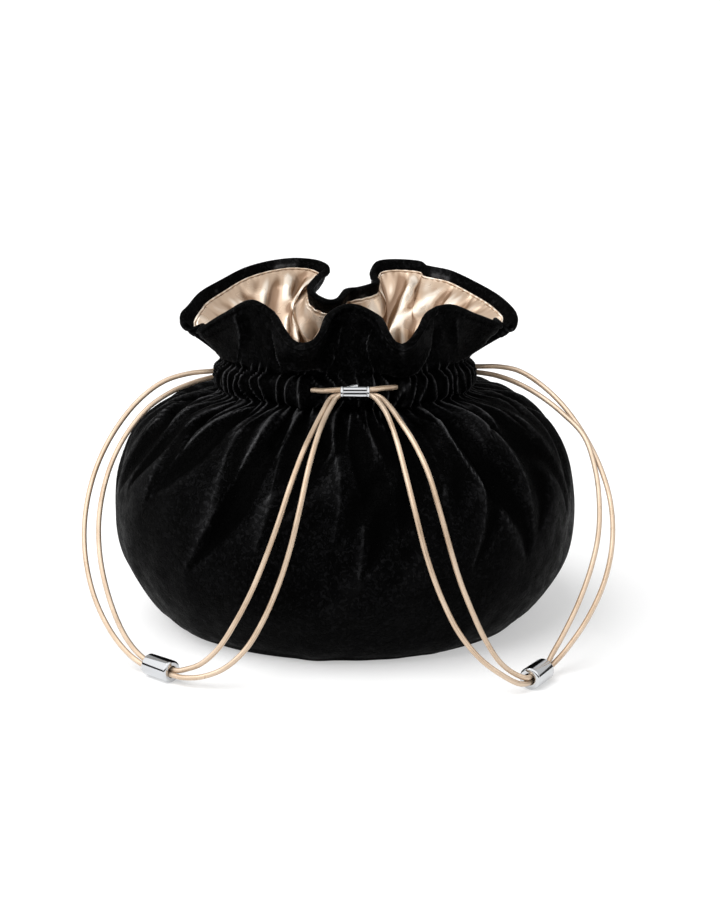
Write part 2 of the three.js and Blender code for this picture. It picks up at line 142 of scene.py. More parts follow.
class Placed:
    """A node that has been placed, for picking its outputs."""

    def __init__(self, finish, node):
        self.finish = finish
        self.node = node

    def out(self, key):
        return Wire(self.finish, self.node.outputs[key])


class Finish:
    """A material under construction."""

    def __init__(self, name):
        self.material = bpy.data.materials.new(name)
        self.material.use_nodes = True
        self.tree = self.material.node_tree
        self.shader = self.tree.nodes["Principled BSDF"]

    def node(self, kind, settings, inputs):
        node = self.tree.nodes.new(kind)
        for key, value in settings.items():
            if key == "stops":
                self.set_stops(node.color_ramp, value)
            else:
                setattr(node, key, value)
        for key, value in inputs.items():
            self.feed(node.inputs[key], value)
        return Placed(self, node)

    def feed(self, socket, value):
        if isinstance(value, Wire):
            self.tree.links.new(value.socket, socket)
        else:
            socket.default_value = value

    def set_stops(self, ramp, stops):
        while len(ramp.elements) > len(stops):
            ramp.elements.remove(ramp.elements[-1])
        while len(ramp.elements) < len(stops):
            ramp.elements.new(0.5)
        for element, (place, shade) in zip(ramp.elements, stops):
            element.position = place
            element.color = (*shade, 1) if len(shade) == 3 else shade

    def surface(self, **inputs):
        for key, value in inputs.items():
            self.feed(self.shader.inputs[key.replace("_", " ")], value)
        return self.material

    def place(self, output="Object"):
        return self.node("ShaderNodeTexCoord", {}, {}).out(output)

    def noise(self, vector, scale, detail=2.0, roughness=0.5, distortion=0.0):
        return self.node("ShaderNodeTexNoise", {}, {
            "Vector": vector, "Scale": scale, "Detail": detail, "Roughness": roughness,
            "Distortion": distortion,
        }).out("Fac")

    def stretched(self, vector, scale):
        return self.node("ShaderNodeMapping", {}, {"Vector": vector, "Scale": scale}).out("Vector")

    def ramp(self, factor, *stops):
        return self.node("ShaderNodeValToRGB", {"stops": stops}, {"Fac": factor}).out("Color")

    def span(self, value, low, high, to_low=0.0, to_high=1.0):
        return self.node("ShaderNodeMapRange", {"interpolation_type": "SMOOTHSTEP"}, {
            "Value": value, "From Min": low, "From Max": high, "To Min": to_low, "To Max": to_high,
        }).out("Result")

    def mix(self, factor, first, second):
        return self.node("ShaderNodeMix", {"data_type": "RGBA"}, {
            "Factor": factor, 6: first, 7: second,
        }).out(2)

    def bump(self, height, distance, strength=1.0, after=None):
        inputs = {"Height": height, "Distance": distance, "Strength": strength}
        if after is not None:
            inputs["Normal"] = after
        return self.node("ShaderNodeBump", {}, inputs).out("Normal")


print("material helper ready")

# %% [markdown]
# ## Cord finish
# The cord is a tan waxed cord. Fine lines run along it, so the pattern is stretched along its
# length, and a slight gloss comes from the wax.

# %% Cord finish
def make_cord_finish():
    finish = Finish("waxed_cord")
    along = finish.place("UV")
    lines = finish.noise(finish.stretched(along, (2.0, 3.0, 1)), 3.0, detail=3)
    soft = finish.noise(finish.place(), 90.0, detail=3)
    tone = finish.span(lines * 0.75 + soft * 0.25, 0.36, 0.6)
    color = finish.mix(tone, (0.43, 0.30, 0.195, 1), (0.64, 0.505, 0.38, 1))
    return finish.surface(
        Base_Color=color,
        Roughness=finish.span(soft, 0.3, 0.7, 0.25, 0.36),
        Normal=finish.bump(lines, 0.00012),
        Metallic=0.4,
        Specular_IOR_Level=0.8,
    )


waxed_cord = make_cord_finish()
print("finish:", waxed_cord.name)

# %% [markdown]
# ## Cord strands
# Two cords run in the casing round the neck. Each comes out at the sides and goes down through a
# bead on the table and up to the clasp at the front, so four long strands show, and one short
# strand bridges the two front holes. Each strand is a smooth curve through listed points with
# a round bevel, which is how Blender keeps a cord the same thickness all along.

# %% Cord routes
CORD_DIAMETER = 0.0023
STRANDS = {
    "drawcord_left_upper": [
        (-55.05, 8, 113.8), (-56.1, 4.6, 113.8), (-58.4, 2.2, 113.9), (-62.5, 0.6, 113.9),
        (-71, -1.1, 113.3), (-82.2, -6, 110.6), (-93.4, -14, 103.1), (-103.8, -25, 90.5),
        (-110.9, -35.3, 75.7), (-114.3, -46, 58.8), (-113.5, -56, 43), (-108.5, -67, 27.3),
        (-100.5, -76.2, 14.6), (-92.2, -83.6, 7.2), (-85.4, -88.3, 3.92), (-81.3, -92, 3.92),
        (-75.4, -97.4, 3.92), (-71.3, -101.1, 3.92), (-67, -104, 4.1), (-59.3, -106, 5.2),
        (-50, -107, 9.1), (-41, -107, 17.3), (-33.5, -106.3, 29.6), (-27, -104.9, 44.5),
        (-21.9, -103, 60.2), (-18, -99.6, 76), (-14.4, -90.8, 91.4), (-10.5, -76.5, 102.7),
        (-7.1, -63.5, 108.6), (-4.5, -56.7, 112), (-3.2, -54.2, 113.6), (-1.4, -53.15, 114.4),
        (1, -53.15, 114.4), (4.65, -53.15, 114.4),
    ],
    "drawcord_left_lower": [
        (-55.05, 8, 111.3), (-56.1, 4.6, 111.3), (-58.4, 2.2, 111.3), (-61.8, 0, 111),
        (-68.7, -4.4, 109.8), (-78.7, -12, 106.8), (-88.9, -21.6, 100.9), (-98.2, -31.5, 89.8),
        (-104.4, -40.5, 76.5), (-107.5, -50.5, 60), (-106.5, -60.2, 44.5), (-102, -70, 29),
        (-95.3, -78.6, 15.7), (-89.3, -83.6, 8.8), (-84.2, -87, 5.68), (-80.1, -90.7, 5.68),
        (-74.2, -96.1, 5.68), (-70.1, -99.8, 5.68), (-66, -101, 6.8), (-59.8, -102.9, 9.8),
        (-52, -104, 17.4), (-44.5, -104, 29.4), (-38.2, -103.2, 41.6), (-32.3, -101.8, 55.6),
        (-27, -99.8, 70), (-22.2, -94.6, 84.1), (-16.8, -83.3, 96.8), (-12.2, -70, 104.2),
        (-9, -60.8, 108.7), (-5.9, -53.2, 112.7), (-3.5, -51.1, 113.9), (-1.4, -50.75, 114.4),
        (1, -50.75, 114.4), (4.65, -50.75, 114.4),
    ],
    "drawcord_right_upper": [
        (55.05, 8, 115.4), (56.1, 4.6, 115.6), (58.4, 2.2, 115.9), (62.5, 0.7, 116.2),
        (70, -0.6, 116.4), (79, -3.9, 115.2), (88.3, -10, 110.5), (98.1, -19.4, 102.5),
        (107, -31, 91), (113.5, -41, 78.2), (116.9, -51.5, 65.2), (116.7, -62, 50.5),
        (112.6, -71, 35.7), (104.8, -79.3, 21.8), (95.6, -85.8, 10.5), (90.2, -89.6, 5.7),
        (86.3, -93.2, 3.55), (83.5, -98, 3.55), (79.5, -104.8, 3.55), (76.7, -109.6, 3.55),
        (72.6, -112.9, 4.9), (66, -114.5, 9), (57, -113.4, 15.6), (48.1, -110.5, 26),
        (40.6, -106.4, 40.4), (34.6, -102.6, 56.8), (30, -99, 74.2), (26, -90.7, 89),
        (22.3, -78.5, 100.8), (18.6, -65.4, 108.4), (15.2, -57.2, 112.2), (12.9, -54, 113.8),
        (11.1, -53.15, 114.4), (8.7, -53.15, 114.4), (5.05, -53.15, 114.4),
    ],
    "drawcord_right_lower": [
        (55.05, 8, 112.9), (56.1, 4.6, 113.1), (58.4, 2.2, 113.3), (62.3, 0, 113.4),
        (69, -3.2, 112.8), (78, -9, 110.6), (87.6, -16, 106.4), (97.4, -24.4, 100),
        (106.4, -33.3, 91.5), (110.8, -42.8, 78.2), (111.8, -52.3, 65), (110.8, -59.2, 53),
        (107.1, -67, 40.5), (100.9, -76, 27.3), (94.5, -83, 16.7), (89.3, -88.5, 9.4),
        (86.3, -93.2, 6.05), (83.5, -98, 6.05), (79.5, -104.8, 6.05), (76.7, -109.6, 6.05),
        (71.8, -110.6, 8), (65.4, -110.7, 13.1), (59.2, -108.6, 22.2), (53.4, -105.8, 34.3),
        (48.4, -102.6, 46.7), (44.3, -99.6, 60), (40.3, -96, 74), (35.4, -89.6, 89.2),
        (29.8, -81, 99.8), (24.3, -71, 106.6), (19.6, -59.2, 110.9), (15.8, -52.6, 113.3),
        (13.2, -51.1, 114.1), (11.1, -50.75, 114.4), (8.7, -50.75, 114.4), (5.05, -50.75, 114.4),
    ],
    "drawcord_front": [
        (-49, -20.4, 113.6), (-40, -30.4, 113.6), (-29, -37.3, 113.7), (-20.5, -41.2, 114.4),
        (-14, -46.2, 115.2), (-9, -49.6, 115.6), (-4.3, -51.6, 116.3), (-0.5, -51.95, 116.5),
        (4.85, -51.95, 116.5), (10.2, -51.95, 116.5), (13.9, -51.3, 116.7), (18.2, -49, 116.7),
        (22.3, -45.4, 116.2), (26.5, -41.2, 115.2), (31, -36.9, 114.2), (40, -30.5, 113.7),
        (49, -20.6, 113.6),
    ],
}
ROUTES = {name: np.array(points) / 1000 for name, points in STRANDS.items()}
print("strands:", {name: len(points) for name, points in ROUTES.items()})

# %% [markdown]
# A centripetal Catmull-Rom curve passes through every chosen point and never loops between two of
# them, also where they stand unevenly. The same function serves the cords and the cloth's edge.

# %% Smooth paths
def smooth_path(points, places, closed=False):
    """Points on a smooth path, at places counted in steps between the chosen points."""
    points = np.asarray(points, dtype=float)
    count = len(points)
    places = np.asarray(places, dtype=float)
    step = np.floor(places).astype(int)
    if not closed:
        step = np.clip(step, 0, count - 2)
        points = np.vstack([2 * points[0] - points[1], points, 2 * points[-1] - points[-2]])
        near = [points[step + k] for k in range(4)]
    else:
        near = [points[(step + k - 1) % count] for k in range(4)]
    spans = [np.maximum(np.linalg.norm(near[k + 1] - near[k], axis=1), 1e-9) ** 0.5 for k in range(3)]
    first, middle, last = (span[:, None] for span in spans)
    a, b, c, d = near
    leave = ((b - a) / first - (c - a) / (first + middle) + (c - b) / middle) * middle
    arrive = ((c - b) / middle - (d - b) / (middle + last) + (d - c) / last) * middle
    w = (places - step)[:, None]
    return (
        (2 * w ** 3 - 3 * w ** 2 + 1) * b + (w ** 3 - 2 * w ** 2 + w) * leave
        + (3 * w ** 2 - 2 * w ** 3) * c + (w ** 3 - w ** 2) * arrive
    )


def path_length(points):
    return float(np.linalg.norm(np.diff(points, axis=0), axis=1).sum())


for name, route in ROUTES.items():
    fine = smooth_path(route, np.linspace(0, len(route) - 1, 400))
    print(name, "is", round(path_length(fine) * 1000, 1), "mm long")

# %% [markdown]
# A real cord is as thick at its bends as anywhere else. A curve with a round bevel is the same, and
# six short steps between two chosen points are enough for the bends to look round. The stretches of
# cord inside the casing don't show, so they stay as they are and only get the finish.

# %% Cord curves
STEPS_BETWEEN_POINTS = 6


def make_cord(name, route):
    last = len(route) - 1
    fine = smooth_path(route, np.linspace(0, last, STEPS_BETWEEN_POINTS * last + 1))
    curve = bpy.data.curves.new(name + "_cord", "CURVE")
    curve.dimensions = "3D"
    curve.bevel_depth = CORD_DIAMETER / 2
    curve.bevel_resolution = 3
    curve.use_fill_caps = True
    spline = curve.splines.new("POLY")
    spline.points.add(len(fine) - 1)
    spline.points.foreach_set("co", np.hstack([fine, np.ones((len(fine), 1))]).ravel())
    spline.use_smooth = True
    curve.materials.append(waxed_cord)
    piece = put_in_scene(name + "_cord", curve)
    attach(piece, "root")
    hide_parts(name)
    return piece, path_length(fine)


cords = {name: make_cord(name, route) for name, route in ROUTES.items()}
for name in ("channel_cord_upper", "channel_cord_lower"):
    materials = bpy.data.objects[name].data.materials
    materials.clear()
    materials.append(waxed_cord)
print("cords:", {name: round(length, 4) for name, (piece, length) in cords.items()})

# %% [markdown]
# ## Polished metal
# Polished metal has hardly any colour of its own. What shows is the room: white card with dark
# gaps between. So the finish stays simple, with a polish that varies a little, and the cards at the
# end of this script do the rest. Inside the bores no light comes back, so they get a dull,
# near-black finish that paints that shade.

# %% Metal finish
def make_metal_finish():
    finish = Finish("polished_metal")
    turned = finish.noise(finish.place(), 900.0, detail=2)
    return finish.surface(
        Base_Color=(0.57, 0.58, 0.595, 1),
        Metallic=1.0,
        Roughness=finish.span(turned, 0.3, 0.7, 0.05, 0.10),
    )


# A dull near-black finish: painted shade inside the bores and the clasp's slots.
def make_bore_shade_finish():
    finish = Finish("bore_painted_shade")
    soft = finish.noise(finish.place(), 700.0, detail=2)
    color = finish.mix(soft, (0.004, 0.004, 0.004, 1), (0.012, 0.012, 0.012, 1))
    return finish.surface(Base_Color=color, Roughness=0.7)


polished_metal = make_metal_finish()
bore_painted_shade = make_bore_shade_finish()
print("finishes:", polished_metal.name, bore_painted_shade.name)

# %% [markdown]
# ## Cord beads
# Each bead is a short turned tube with a wide bore and rounded edges. A half section is spun round
# the tube's own axis, then bevelled, and the mesh itself is turned to where the bead lies.

# %% Bead helpers
TUBE_STEPS = 72


def spun_section(outline):
    """A solid of revolution about Y from a half section of (radius, along) points."""
    mesh = bmesh.new()
    corners = [mesh.verts.new((radius, along, 0)) for radius, along in outline]
    edges = [mesh.edges.new((a, b)) for a, b in zip(corners, corners[1:] + corners[:1])]
    bmesh.ops.spin(
        mesh, geom=corners + edges, cent=(0, 0, 0), axis=(0, 1, 0), dvec=(0, 0, 0),
        angle=2 * math.pi, steps=TUBE_STEPS, use_merge=True, use_duplicate=False,
    )
    bmesh.ops.remove_doubles(mesh, verts=mesh.verts[:], dist=1e-7)
    bmesh.ops.recalc_face_normals(mesh, faces=mesh.faces[:])
    return mesh


def finish_piece(mesh, name, materials, replaces, sharp=math.radians(40)):
    """A piece with smooth faces and sharp edges above an angle, in the place of a solid."""
    data = mesh_data(mesh, name)
    for material in materials:
        data.materials.append(material)
    for polygon in data.polygons:
        polygon.use_smooth = True
    data.set_sharp_from_angle(angle=sharp)
    piece = put_in_scene(name, data)
    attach(piece, "root")
    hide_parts(replaces)
    return piece


def bevel(mesh, edges, width, segments):
    """Round the chosen edges."""
    bmesh.ops.bevel(
        mesh, geom=edges, offset=width, affect="EDGES", segments=segments, profile=0.5, material=-1,
    )


print("bead helpers ready")

# %% [markdown]
# A real bead is turned from a bar and drilled. Its outer edges are rounded more than those of the
# bore, so they are bevelled first and alone. The faces of the bore get the dull near-black finish of
# painted shade.

# %% Cord beads
BEAD_LENGTH = 0.015
BEAD_RADIUS = 0.0048
BEAD_BORE = 0.0024
SHARP_EDGE = math.radians(50)
BEADS = {
    # name: where its middle lies and a point it looks at, across and deep
    "cord_bead_left": ((-0.07775, -0.09405), (-0.0721, -0.0992)),
    "cord_bead_right": ((0.0815, -0.1014), (0.0777, -0.1079)),
}


def make_bead(name, place, end):
    half = BEAD_LENGTH / 2
    outline = [(BEAD_BORE, -half), (BEAD_RADIUS, -half), (BEAD_RADIUS, half), (BEAD_BORE, half)]
    mesh = spun_section(outline)
    skin = BEAD_RADIUS - 1e-5
    outer = [edge for edge in mesh.edges if all(v.co.xz.length > skin for v in edge.verts)]
    bevel(mesh, [edge for edge in outer if edge.calc_face_angle() > SHARP_EDGE], 0.0011, 5)
    bevel(mesh, [edge for edge in mesh.edges if edge.calc_face_angle(0) > SHARP_EDGE], 0.0004, 3)
    for face in mesh.faces:
        # The bore's faces get the painted shade.
        face.material_index = int(face.calc_center_median().xz.length < BEAD_BORE + 1e-5)
    way = Vector((end[0] - place[0], end[1] - place[1], 0))
    turn = Vector((0, 1, 0)).rotation_difference(way).to_matrix().to_4x4()
    pose = Matrix.Translation((*place, BEAD_RADIUS)) @ turn
    bmesh.ops.transform(mesh, matrix=pose, verts=mesh.verts[:])
    return finish_piece(mesh, name + "_turned", [polished_metal, bore_painted_shade], name)


beads = {name: make_bead(name, place, end) for name, (place, end) in BEADS.items()}
print("beads:", list(beads))

# %% [markdown]
# ## Front clasp
# The clasp is a strip of metal rolled into a tube round the strands, with a raised rim at each end.
# It is spun like the beads and then laid down along X. Two slots run along its face, painted black
# for the shade inside them, and the end of the strip stands up a little on top.

# %% Front clasp
CLASP_PLACE = Vector((0.00485, -0.05195, 0.1151))
CLASP_LENGTH = 0.0124
CLASP_RADIUS = 0.0032
CLASP_BORE = 0.0028


SLOTS = [(26, 41), (1, 6)]  # from and to, in degrees above the front
SLOT_DEPTH = 0.0003


def cut_slot(mesh, low, high):
    """A lengthwise slot in the tube's plain face, between two angles."""
    def in_slot(face):
        middle = face.calc_center_median()
        outside = middle.yz.length > CLASP_BORE + 0.0002
        return outside and low < math.degrees(math.atan2(middle.z, -middle.y)) < high

    def is_long(face):
        return abs(face.normal.x) < 0.1 and max(e.calc_length() for e in face.edges) > 0.009

    chosen = [face for face in mesh.faces if is_long(face) and in_slot(face)]
    walls = bmesh.ops.inset_region(
        mesh, faces=chosen, thickness=0.00004, depth=-SLOT_DEPTH, use_even_offset=True,
    )
    # The slot's faces get the painted black shade.
    for face in chosen + walls["faces"]:
        face.material_index = 1


def add_seam_wedge(mesh):
    """The end of the metal strip, standing up a little where it overlaps on top of the tube."""
    made = bmesh.ops.create_cube(mesh, size=1)["verts"]
    bmesh.ops.scale(mesh, vec=(0.0048, 0.0014, 0.0011), verts=made)
    bmesh.ops.scale(mesh, vec=(1, 1, 0.15), verts=[v for v in made if v.co.x < 0])
    tip_up = Matrix.Rotation(math.radians(-7), 3, "Y")
    bmesh.ops.rotate(mesh, cent=(0, 0, 0), matrix=tip_up, verts=made)
    bmesh.ops.translate(mesh, vec=(-0.0012, -0.0008, CLASP_RADIUS + 0.0002), verts=made)
    bevel(mesh, list({edge for vert in made for edge in vert.link_edges}), 0.00008, 2)


def make_clasp():
    half = CLASP_LENGTH / 2
    rim = CLASP_RADIUS + 0.0003
    outline = [
        (CLASP_BORE, -half), (rim - 0.0001, -half), (rim, -half + 0.0001), (rim, -half + 0.0009),
        (CLASP_RADIUS, -half + 0.0012), (CLASP_RADIUS, half - 0.0012), (rim, half - 0.0009),
        (rim, half - 0.0001), (rim - 0.0001, half), (CLASP_BORE, half),
    ]
    mesh = spun_section(outline)
    lie_down = Matrix.Rotation(math.radians(90), 3, "Z")
    bmesh.ops.rotate(mesh, cent=(0, 0, 0), matrix=lie_down, verts=mesh.verts[:])
    for low, high in SLOTS:
        cut_slot(mesh, low, high)
    add_seam_wedge(mesh)
    bmesh.ops.translate(mesh, vec=CLASP_PLACE, verts=mesh.verts[:])
    return finish_piece(
        mesh, "front_clasp_rolled", [polished_metal, bore_painted_shade], "front_clasp",
        sharp=math.radians(25),
    )


clasp = make_clasp()
print("clasp:", clasp.name, "with", len(clasp.data.polygons), "faces")

# %% [markdown]
# ## The cords
# Someone who moves the cords later needs to know how long and thick each one is, where it comes out
# and what hangs on it. The exit is the point at which the strand leaves its hole in the cloth. Here
# the cords are only counted.

print("declared", len(cords), "cords")

# %% [markdown]
# ## The pouch's plain form
# The cloth is one surface of revolution that is pulled about: a flat base, a round belly, a gathered
# casing between two stitch rows and a ruffle that rises to a wavy rim. The plain form comes first,
# as a table of half widths and half depths at each height, joined by the same smooth path.

# %% Plain form
BELLY = (0.106, 0.0995)
CASING_FOOT = 0.1067
CASING_HEIGHT = 0.0138
CASING = (0.0598, 0.0474)
RUFFLE_RISE = 0.036
MOUTH = (0.079, 0.062)
BODY_ROWS = [
    # name, across, back, height
    ("base edge", 0.72, 0.72, 0.0),
    ("foot", 0.815, 0.815, 0.055),
    ("lower side", 0.912, 0.912, 0.18),
    ("side", 0.976, 0.976, 0.315),
    ("belly", 1.0, 1.0, 0.51),
    ("upper side", 0.97, 0.97, 0.7),
    ("shoulder", 0.883, 0.875, 0.85),
    ("inner shoulder", 0.745, 0.72, 0.95),
]
CASING_ROWS = [
    # name, height, pull inwards in metres
    ("lower stitch", 0.0, 0.0028),
    ("casing low", 0.22, 0.0),
    ("casing high", 0.74, 0.0),
    ("upper stitch", 1.0, 0.0043),
]
KEY_ROWS = np.array(
    [(a * BELLY[0], b * BELLY[1], h * CASING_FOOT) for _, a, b, h in BODY_ROWS]
    + [(CASING[0] - p, CASING[1] - p, CASING_FOOT + h * CASING_HEIGHT) for _, h, p in CASING_ROWS]
)
LOWER_STITCH = len(BODY_ROWS)
UPPER_STITCH = len(KEY_ROWS) - 1
RIM_ROWS = [
    # name, across, back, rise, hem
    ("front hill", 0.05, -0.53, 0.853, 0.3),
    ("front hill right side", 0.171, -0.677, 0.75, 0.3),
    ("right flute inner side", 0.215, -0.91, 0.64, 0.3),
    ("right flute low inner", 0.262, -1.0, 0.51, 0.3),
    ("right flute", 0.319, -1.035, 0.462, 0.3),
    ("right flute low outer", 0.376, -1.0, 0.512, 0.3),
    ("right flute outer side", 0.429, -0.91, 0.645, 0.3),
    ("right hill inner side", 0.482, -0.71, 0.794, 0.3),
    ("right hill", 0.601, -0.58, 0.831, 0.3),
    ("right hill outer side", 0.762, -0.355, 0.639, 0.35),
    ("right pleat outside", 0.905, -0.18, 0.468, 0.5),
    ("right pleat inside", 0.892, -0.055, 0.49, 1.3),
    ("right tip foot", 0.968, -0.055, 0.372, 1.2),
    ("right tip", 1.004, 0.005, 0.435, 1.3),
    ("right tip top", 1.004, 0.065, 0.51, 1.3),
    ("right lobe low", 0.987, 0.129, 0.569, 1),
    ("right lobe side", 0.915, 0.323, 0.681, 1),
    ("right lobe shoulder", 0.79, 0.548, 0.794, 1),
    ("right lobe back", 0.648, 0.742, 0.894, 1),
    ("right lobe kink", 0.518, 0.84, 0.936, 1),
    ("right lobe top", 0.475, 0.919, 0.969, 1),
    ("right lobe middle", 0.29, 0.984, 0.983, 1),
    ("right lobe end", 0.173, 0.919, 0.969, 1),
    ("right fold wall", 0.148, 0.774, 0.886, 1),
    ("right fold turn", 0.172, 0.629, 0.819, 1),
    ("right fold bottom", 0.13, 0.565, 0.797, 1),
    ("middle right", 0.071, 0.516, 0.778, 1),
    ("middle", 0.006, 0.468, 0.772, 1.2),
    ("left fold rise", -0.046, 0.29, 0.692, 1.5),
    ("left fold bottom", -0.081, 0.274, 0.675, 1.7),
    ("left fold turn", -0.146, 0.323, 0.708, 1.7),
    ("left fold wall", -0.189, 0.419, 0.772, 1.5),
    ("left fold top", -0.139, 0.677, 0.858, 1.2),
    ("left lobe end", -0.087, 0.871, 0.914, 1),
    ("left lobe corner", -0.167, 0.968, 0.969, 1),
    ("left lobe middle", -0.308, 0.968, 1.003, 1),
    ("left lobe top", -0.457, 0.887, 0.992, 1),
    ("left lobe back", -0.614, 0.742, 0.936, 1),
    ("left lobe shoulder", -0.749, 0.548, 0.828, 1),
    ("left lobe side", -0.867, 0.323, 0.719, 1),
    ("left lobe low", -0.925, 0.129, 0.597, 1),
    ("left tip top", -0.955, 0.065, 0.53, 1.3),
    ("left tip", -0.955, 0.01, 0.455, 1.3),
    ("left tip foot", -0.918, -0.055, 0.388, 1.2),
    ("left pleat inside", -0.84, -0.06, 0.43, 1.3),
    ("left pleat outside", -0.848, -0.18, 0.395, 0.5),
    ("left hill outer side", -0.681, -0.419, 0.683, 0.35),
    ("left hill", -0.516, -0.613, 0.9, 0.3),
    ("left hill inner side", -0.391, -0.742, 0.769, 0.3),
    ("left flute outer side", -0.334, -0.91, 0.622, 0.3),
    ("left flute low outer", -0.286, -1.0, 0.515, 0.3),
    ("left flute", -0.222, -1.035, 0.475, 0.3),
    ("left flute low inner", -0.158, -1.0, 0.515, 0.3),
    ("left flute inner side", -0.105, -0.91, 0.628, 0.3),
    ("front hill left side", -0.053, -0.677, 0.786, 0.3),
]
QUARTER_MARKS = ("front hill", "right tip", "middle", "left tip")
COLUMNS = 720
column_angle = 2 * math.pi * np.arange(COLUMNS) / COLUMNS
print("key rows:", len(KEY_ROWS), "rim points:", len(RIM_ROWS))

# %% [markdown]
# The rim's columns are spread evenly along its edge within each quarter, so the cloth is neither
# stretched nor bunched where the rim swings in and out.

# %% The rim
def rim_and_hem():
    points = np.array([
        (a * MOUTH[0], b * MOUTH[1], CASING_FOOT + CASING_HEIGHT + r * RUFFLE_RISE)
        for _, a, b, r, _ in RIM_ROWS
    ])
    count = len(points)
    places = np.linspace(0, count, 40 * count + 1)
    fine = smooth_path(points, places, closed=True)
    lengths = np.concatenate([[0], np.cumsum(np.linalg.norm(np.diff(fine, axis=0), axis=1))])
    names = [row[0] for row in RIM_ROWS]
    marks = [lengths[40 * names.index(mark)] for mark in QUARTER_MARKS] + [lengths[-1]]
    wanted = np.interp(4 * column_angle / (2 * math.pi), range(5), marks)
    at = np.interp(wanted, lengths, places)
    hems = np.array([row[4] for row in RIM_ROWS] + [RIM_ROWS[0][4]])
    return smooth_path(points, at, closed=True), np.interp(at, range(count + 1), hems), lengths[-1]


rim, hem_share, rim_length = rim_and_hem()
print("rim length:", round(rim_length * 1000), "mm")

# %% [markdown]
# The cloth is now a grid of points: rings from the base edge to the rim, with the same number of
# columns in each. The normals of this plain grid give the way in which folds lift the cloth.

# %% The grid of the plain form
RUFFLE_SHARES = (0, 0.17, 0.42, 0.7, 1)
RUFFLE_OUT = (0, 0.13, 0.38, 0.68, 1)
FLUTES = (18, 342)  # where the two front flutes stand, in degrees round from the front
FLUTE_BULGE = 0.22
flute = sum(np.exp(-np.abs((np.degrees(column_angle) - middle) / 9) ** 2) for middle in FLUTES)


def ruffle_points(share):
    """Points at a share of the way from the upper stitch to the rim. The flutes bulge outwards."""
    foot = plain_ring(UPPER_STITCH)
    share = np.broadcast_to(share, (COLUMNS,))
    out = np.interp(share, RUFFLE_SHARES, RUFFLE_OUT)
    out = out + FLUTE_BULGE * flute * np.sin(math.pi * share) ** 0.8
    return foot + (rim - foot) * np.stack([out, out, share], axis=1)


def plain_ring(way):
    """The ring of points at a way up the cloth: key rows up to the upper stitch, then the ruffle."""
    if way <= UPPER_STITCH:
        wide, deep, height = smooth_path(KEY_ROWS, [way])[0]
        return np.stack([
            wide * np.sin(column_angle), -deep * np.cos(column_angle), np.full(COLUMNS, height),
        ], axis=1)
    return ruffle_points(way - UPPER_STITCH)


def normals_of(grid):
    along = np.roll(grid, -1, axis=1) - np.roll(grid, 1, axis=1)
    above = np.vstack([grid[1:], grid[-1:]]) - np.vstack([grid[:1], grid[:-1]])
    normal = np.cross(along, above)
    return normal / np.maximum(np.linalg.norm(normal, axis=2, keepdims=True), 1e-12)


body_ways = np.concatenate([np.linspace(0, 2, 8)[:-1], np.linspace(2, LOWER_STITCH, 44)[:-1]])
casing_ways = np.linspace(LOWER_STITCH, UPPER_STITCH, 15)[:-1]
ruffle_ways = UPPER_STITCH + np.linspace(0, 1, 30)
ways = np.concatenate([body_ways, casing_ways, ruffle_ways])
plain = np.array([plain_ring(way) for way in ways])
plain_normals = normals_of(plain)
print("grid:", plain.shape)

# %% [markdown]
# ## Gathers and folds
# Drawing the cord shut bunches the cloth at the two stitch rows. From the bunches long folds run out
# over the shoulder, each a crisp ridge with a hollow at its side that narrows to a point half way
# down the belly. The main folds of the front follow the photograph, and the rest are seeded.

# %% Main folds
GATHERS = 60
FRONT_FOLDS = [
    # (degrees round from the front, millimetres down the cloth) points, ridge and hollow in mm
    ([(-112, 0), (-97, 40), (-86, 74)], 1.8, 3.2),
    ([(-90, 0), (-74, 35), (-75, 74)], 1.8, 3.6),
    ([(-63, 0), (-61, 30), (-66, 66)], 1.2, 2.4),
    ([(-42, 0), (-46, 34), (-57, 68)], 2.2, 4.2),
    ([(-26, 0), (-27, 30), (-27.5, 52), (-31, 68), (-42, 96)], 2.4, 4.6),
    ([(-19.5, 0), (-18.5, 31), (-19.5, 60)], 1.4, 2.6),
    ([(-13, 0), (-13, 36), (-14, 66)], 1.2, 3.4),
    ([(-3.5, 0), (-2, 35), (-2, 78)], 1.6, 3.2),
    ([(2, 0), (2.5, 40), (4.5, 92)], 1.6, 3.8),
    ([(9.5, 0), (9.5, 35), (13, 76)], 1.4, 3.2),
    ([(16, 0), (13.5, 41), (14.5, 62)], 1.2, 2.2),
    ([(24, 0), (24, 30), (27, 70)], 1.2, 2.6),
    ([(32, 0), (33, 31), (37.5, 61), (48, 94)], 2.2, 4.6),
    ([(46, 0), (52, 41), (53, 62), (52, 84)], 1.8, 4.2),
    ([(58, 0), (57, 43), (69, 82)], 1.8, 3.8),
    ([(88, 0), (78, 39), (72, 80)], 1.6, 3.6),
    ([(108, 0), (98, 40), (92, 76)], 1.6, 3.0),
]


def back_folds():
    """Folds for the back, in the same form as the front's."""
    maker = np.random.default_rng(5)
    folds = []
    for middle in np.linspace(122, 238, 11):
        place = middle + maker.uniform(-3, 3)
        lean = maker.uniform(-9, 9)
        reach = maker.uniform(58, 96)
        points = [(place, 0), (place + 0.35 * lean, 0.5 * reach), (place + lean, reach)]
        folds.append((points, maker.uniform(1.2, 2.3), maker.uniform(2.2, 4.6)))
    return folds


def seeded_folds(count, seed, reaches):
    """The shorter folds that the gathers make between the long ones."""
    maker = np.random.default_rng(seed)
    folds = []
    for k in range(count):
        place = 360 * (k + maker.uniform(-0.35, 0.35)) / count
        reach = maker.uniform(*reaches)
        halfway = place + maker.uniform(-3, 3)
        points = [(place, 0), (halfway, 0.5 * reach), (place + maker.uniform(-6, 6), reach)]
        folds.append((points, maker.uniform(0.8, 1.5), maker.uniform(1.0, 2.2)))
    return folds


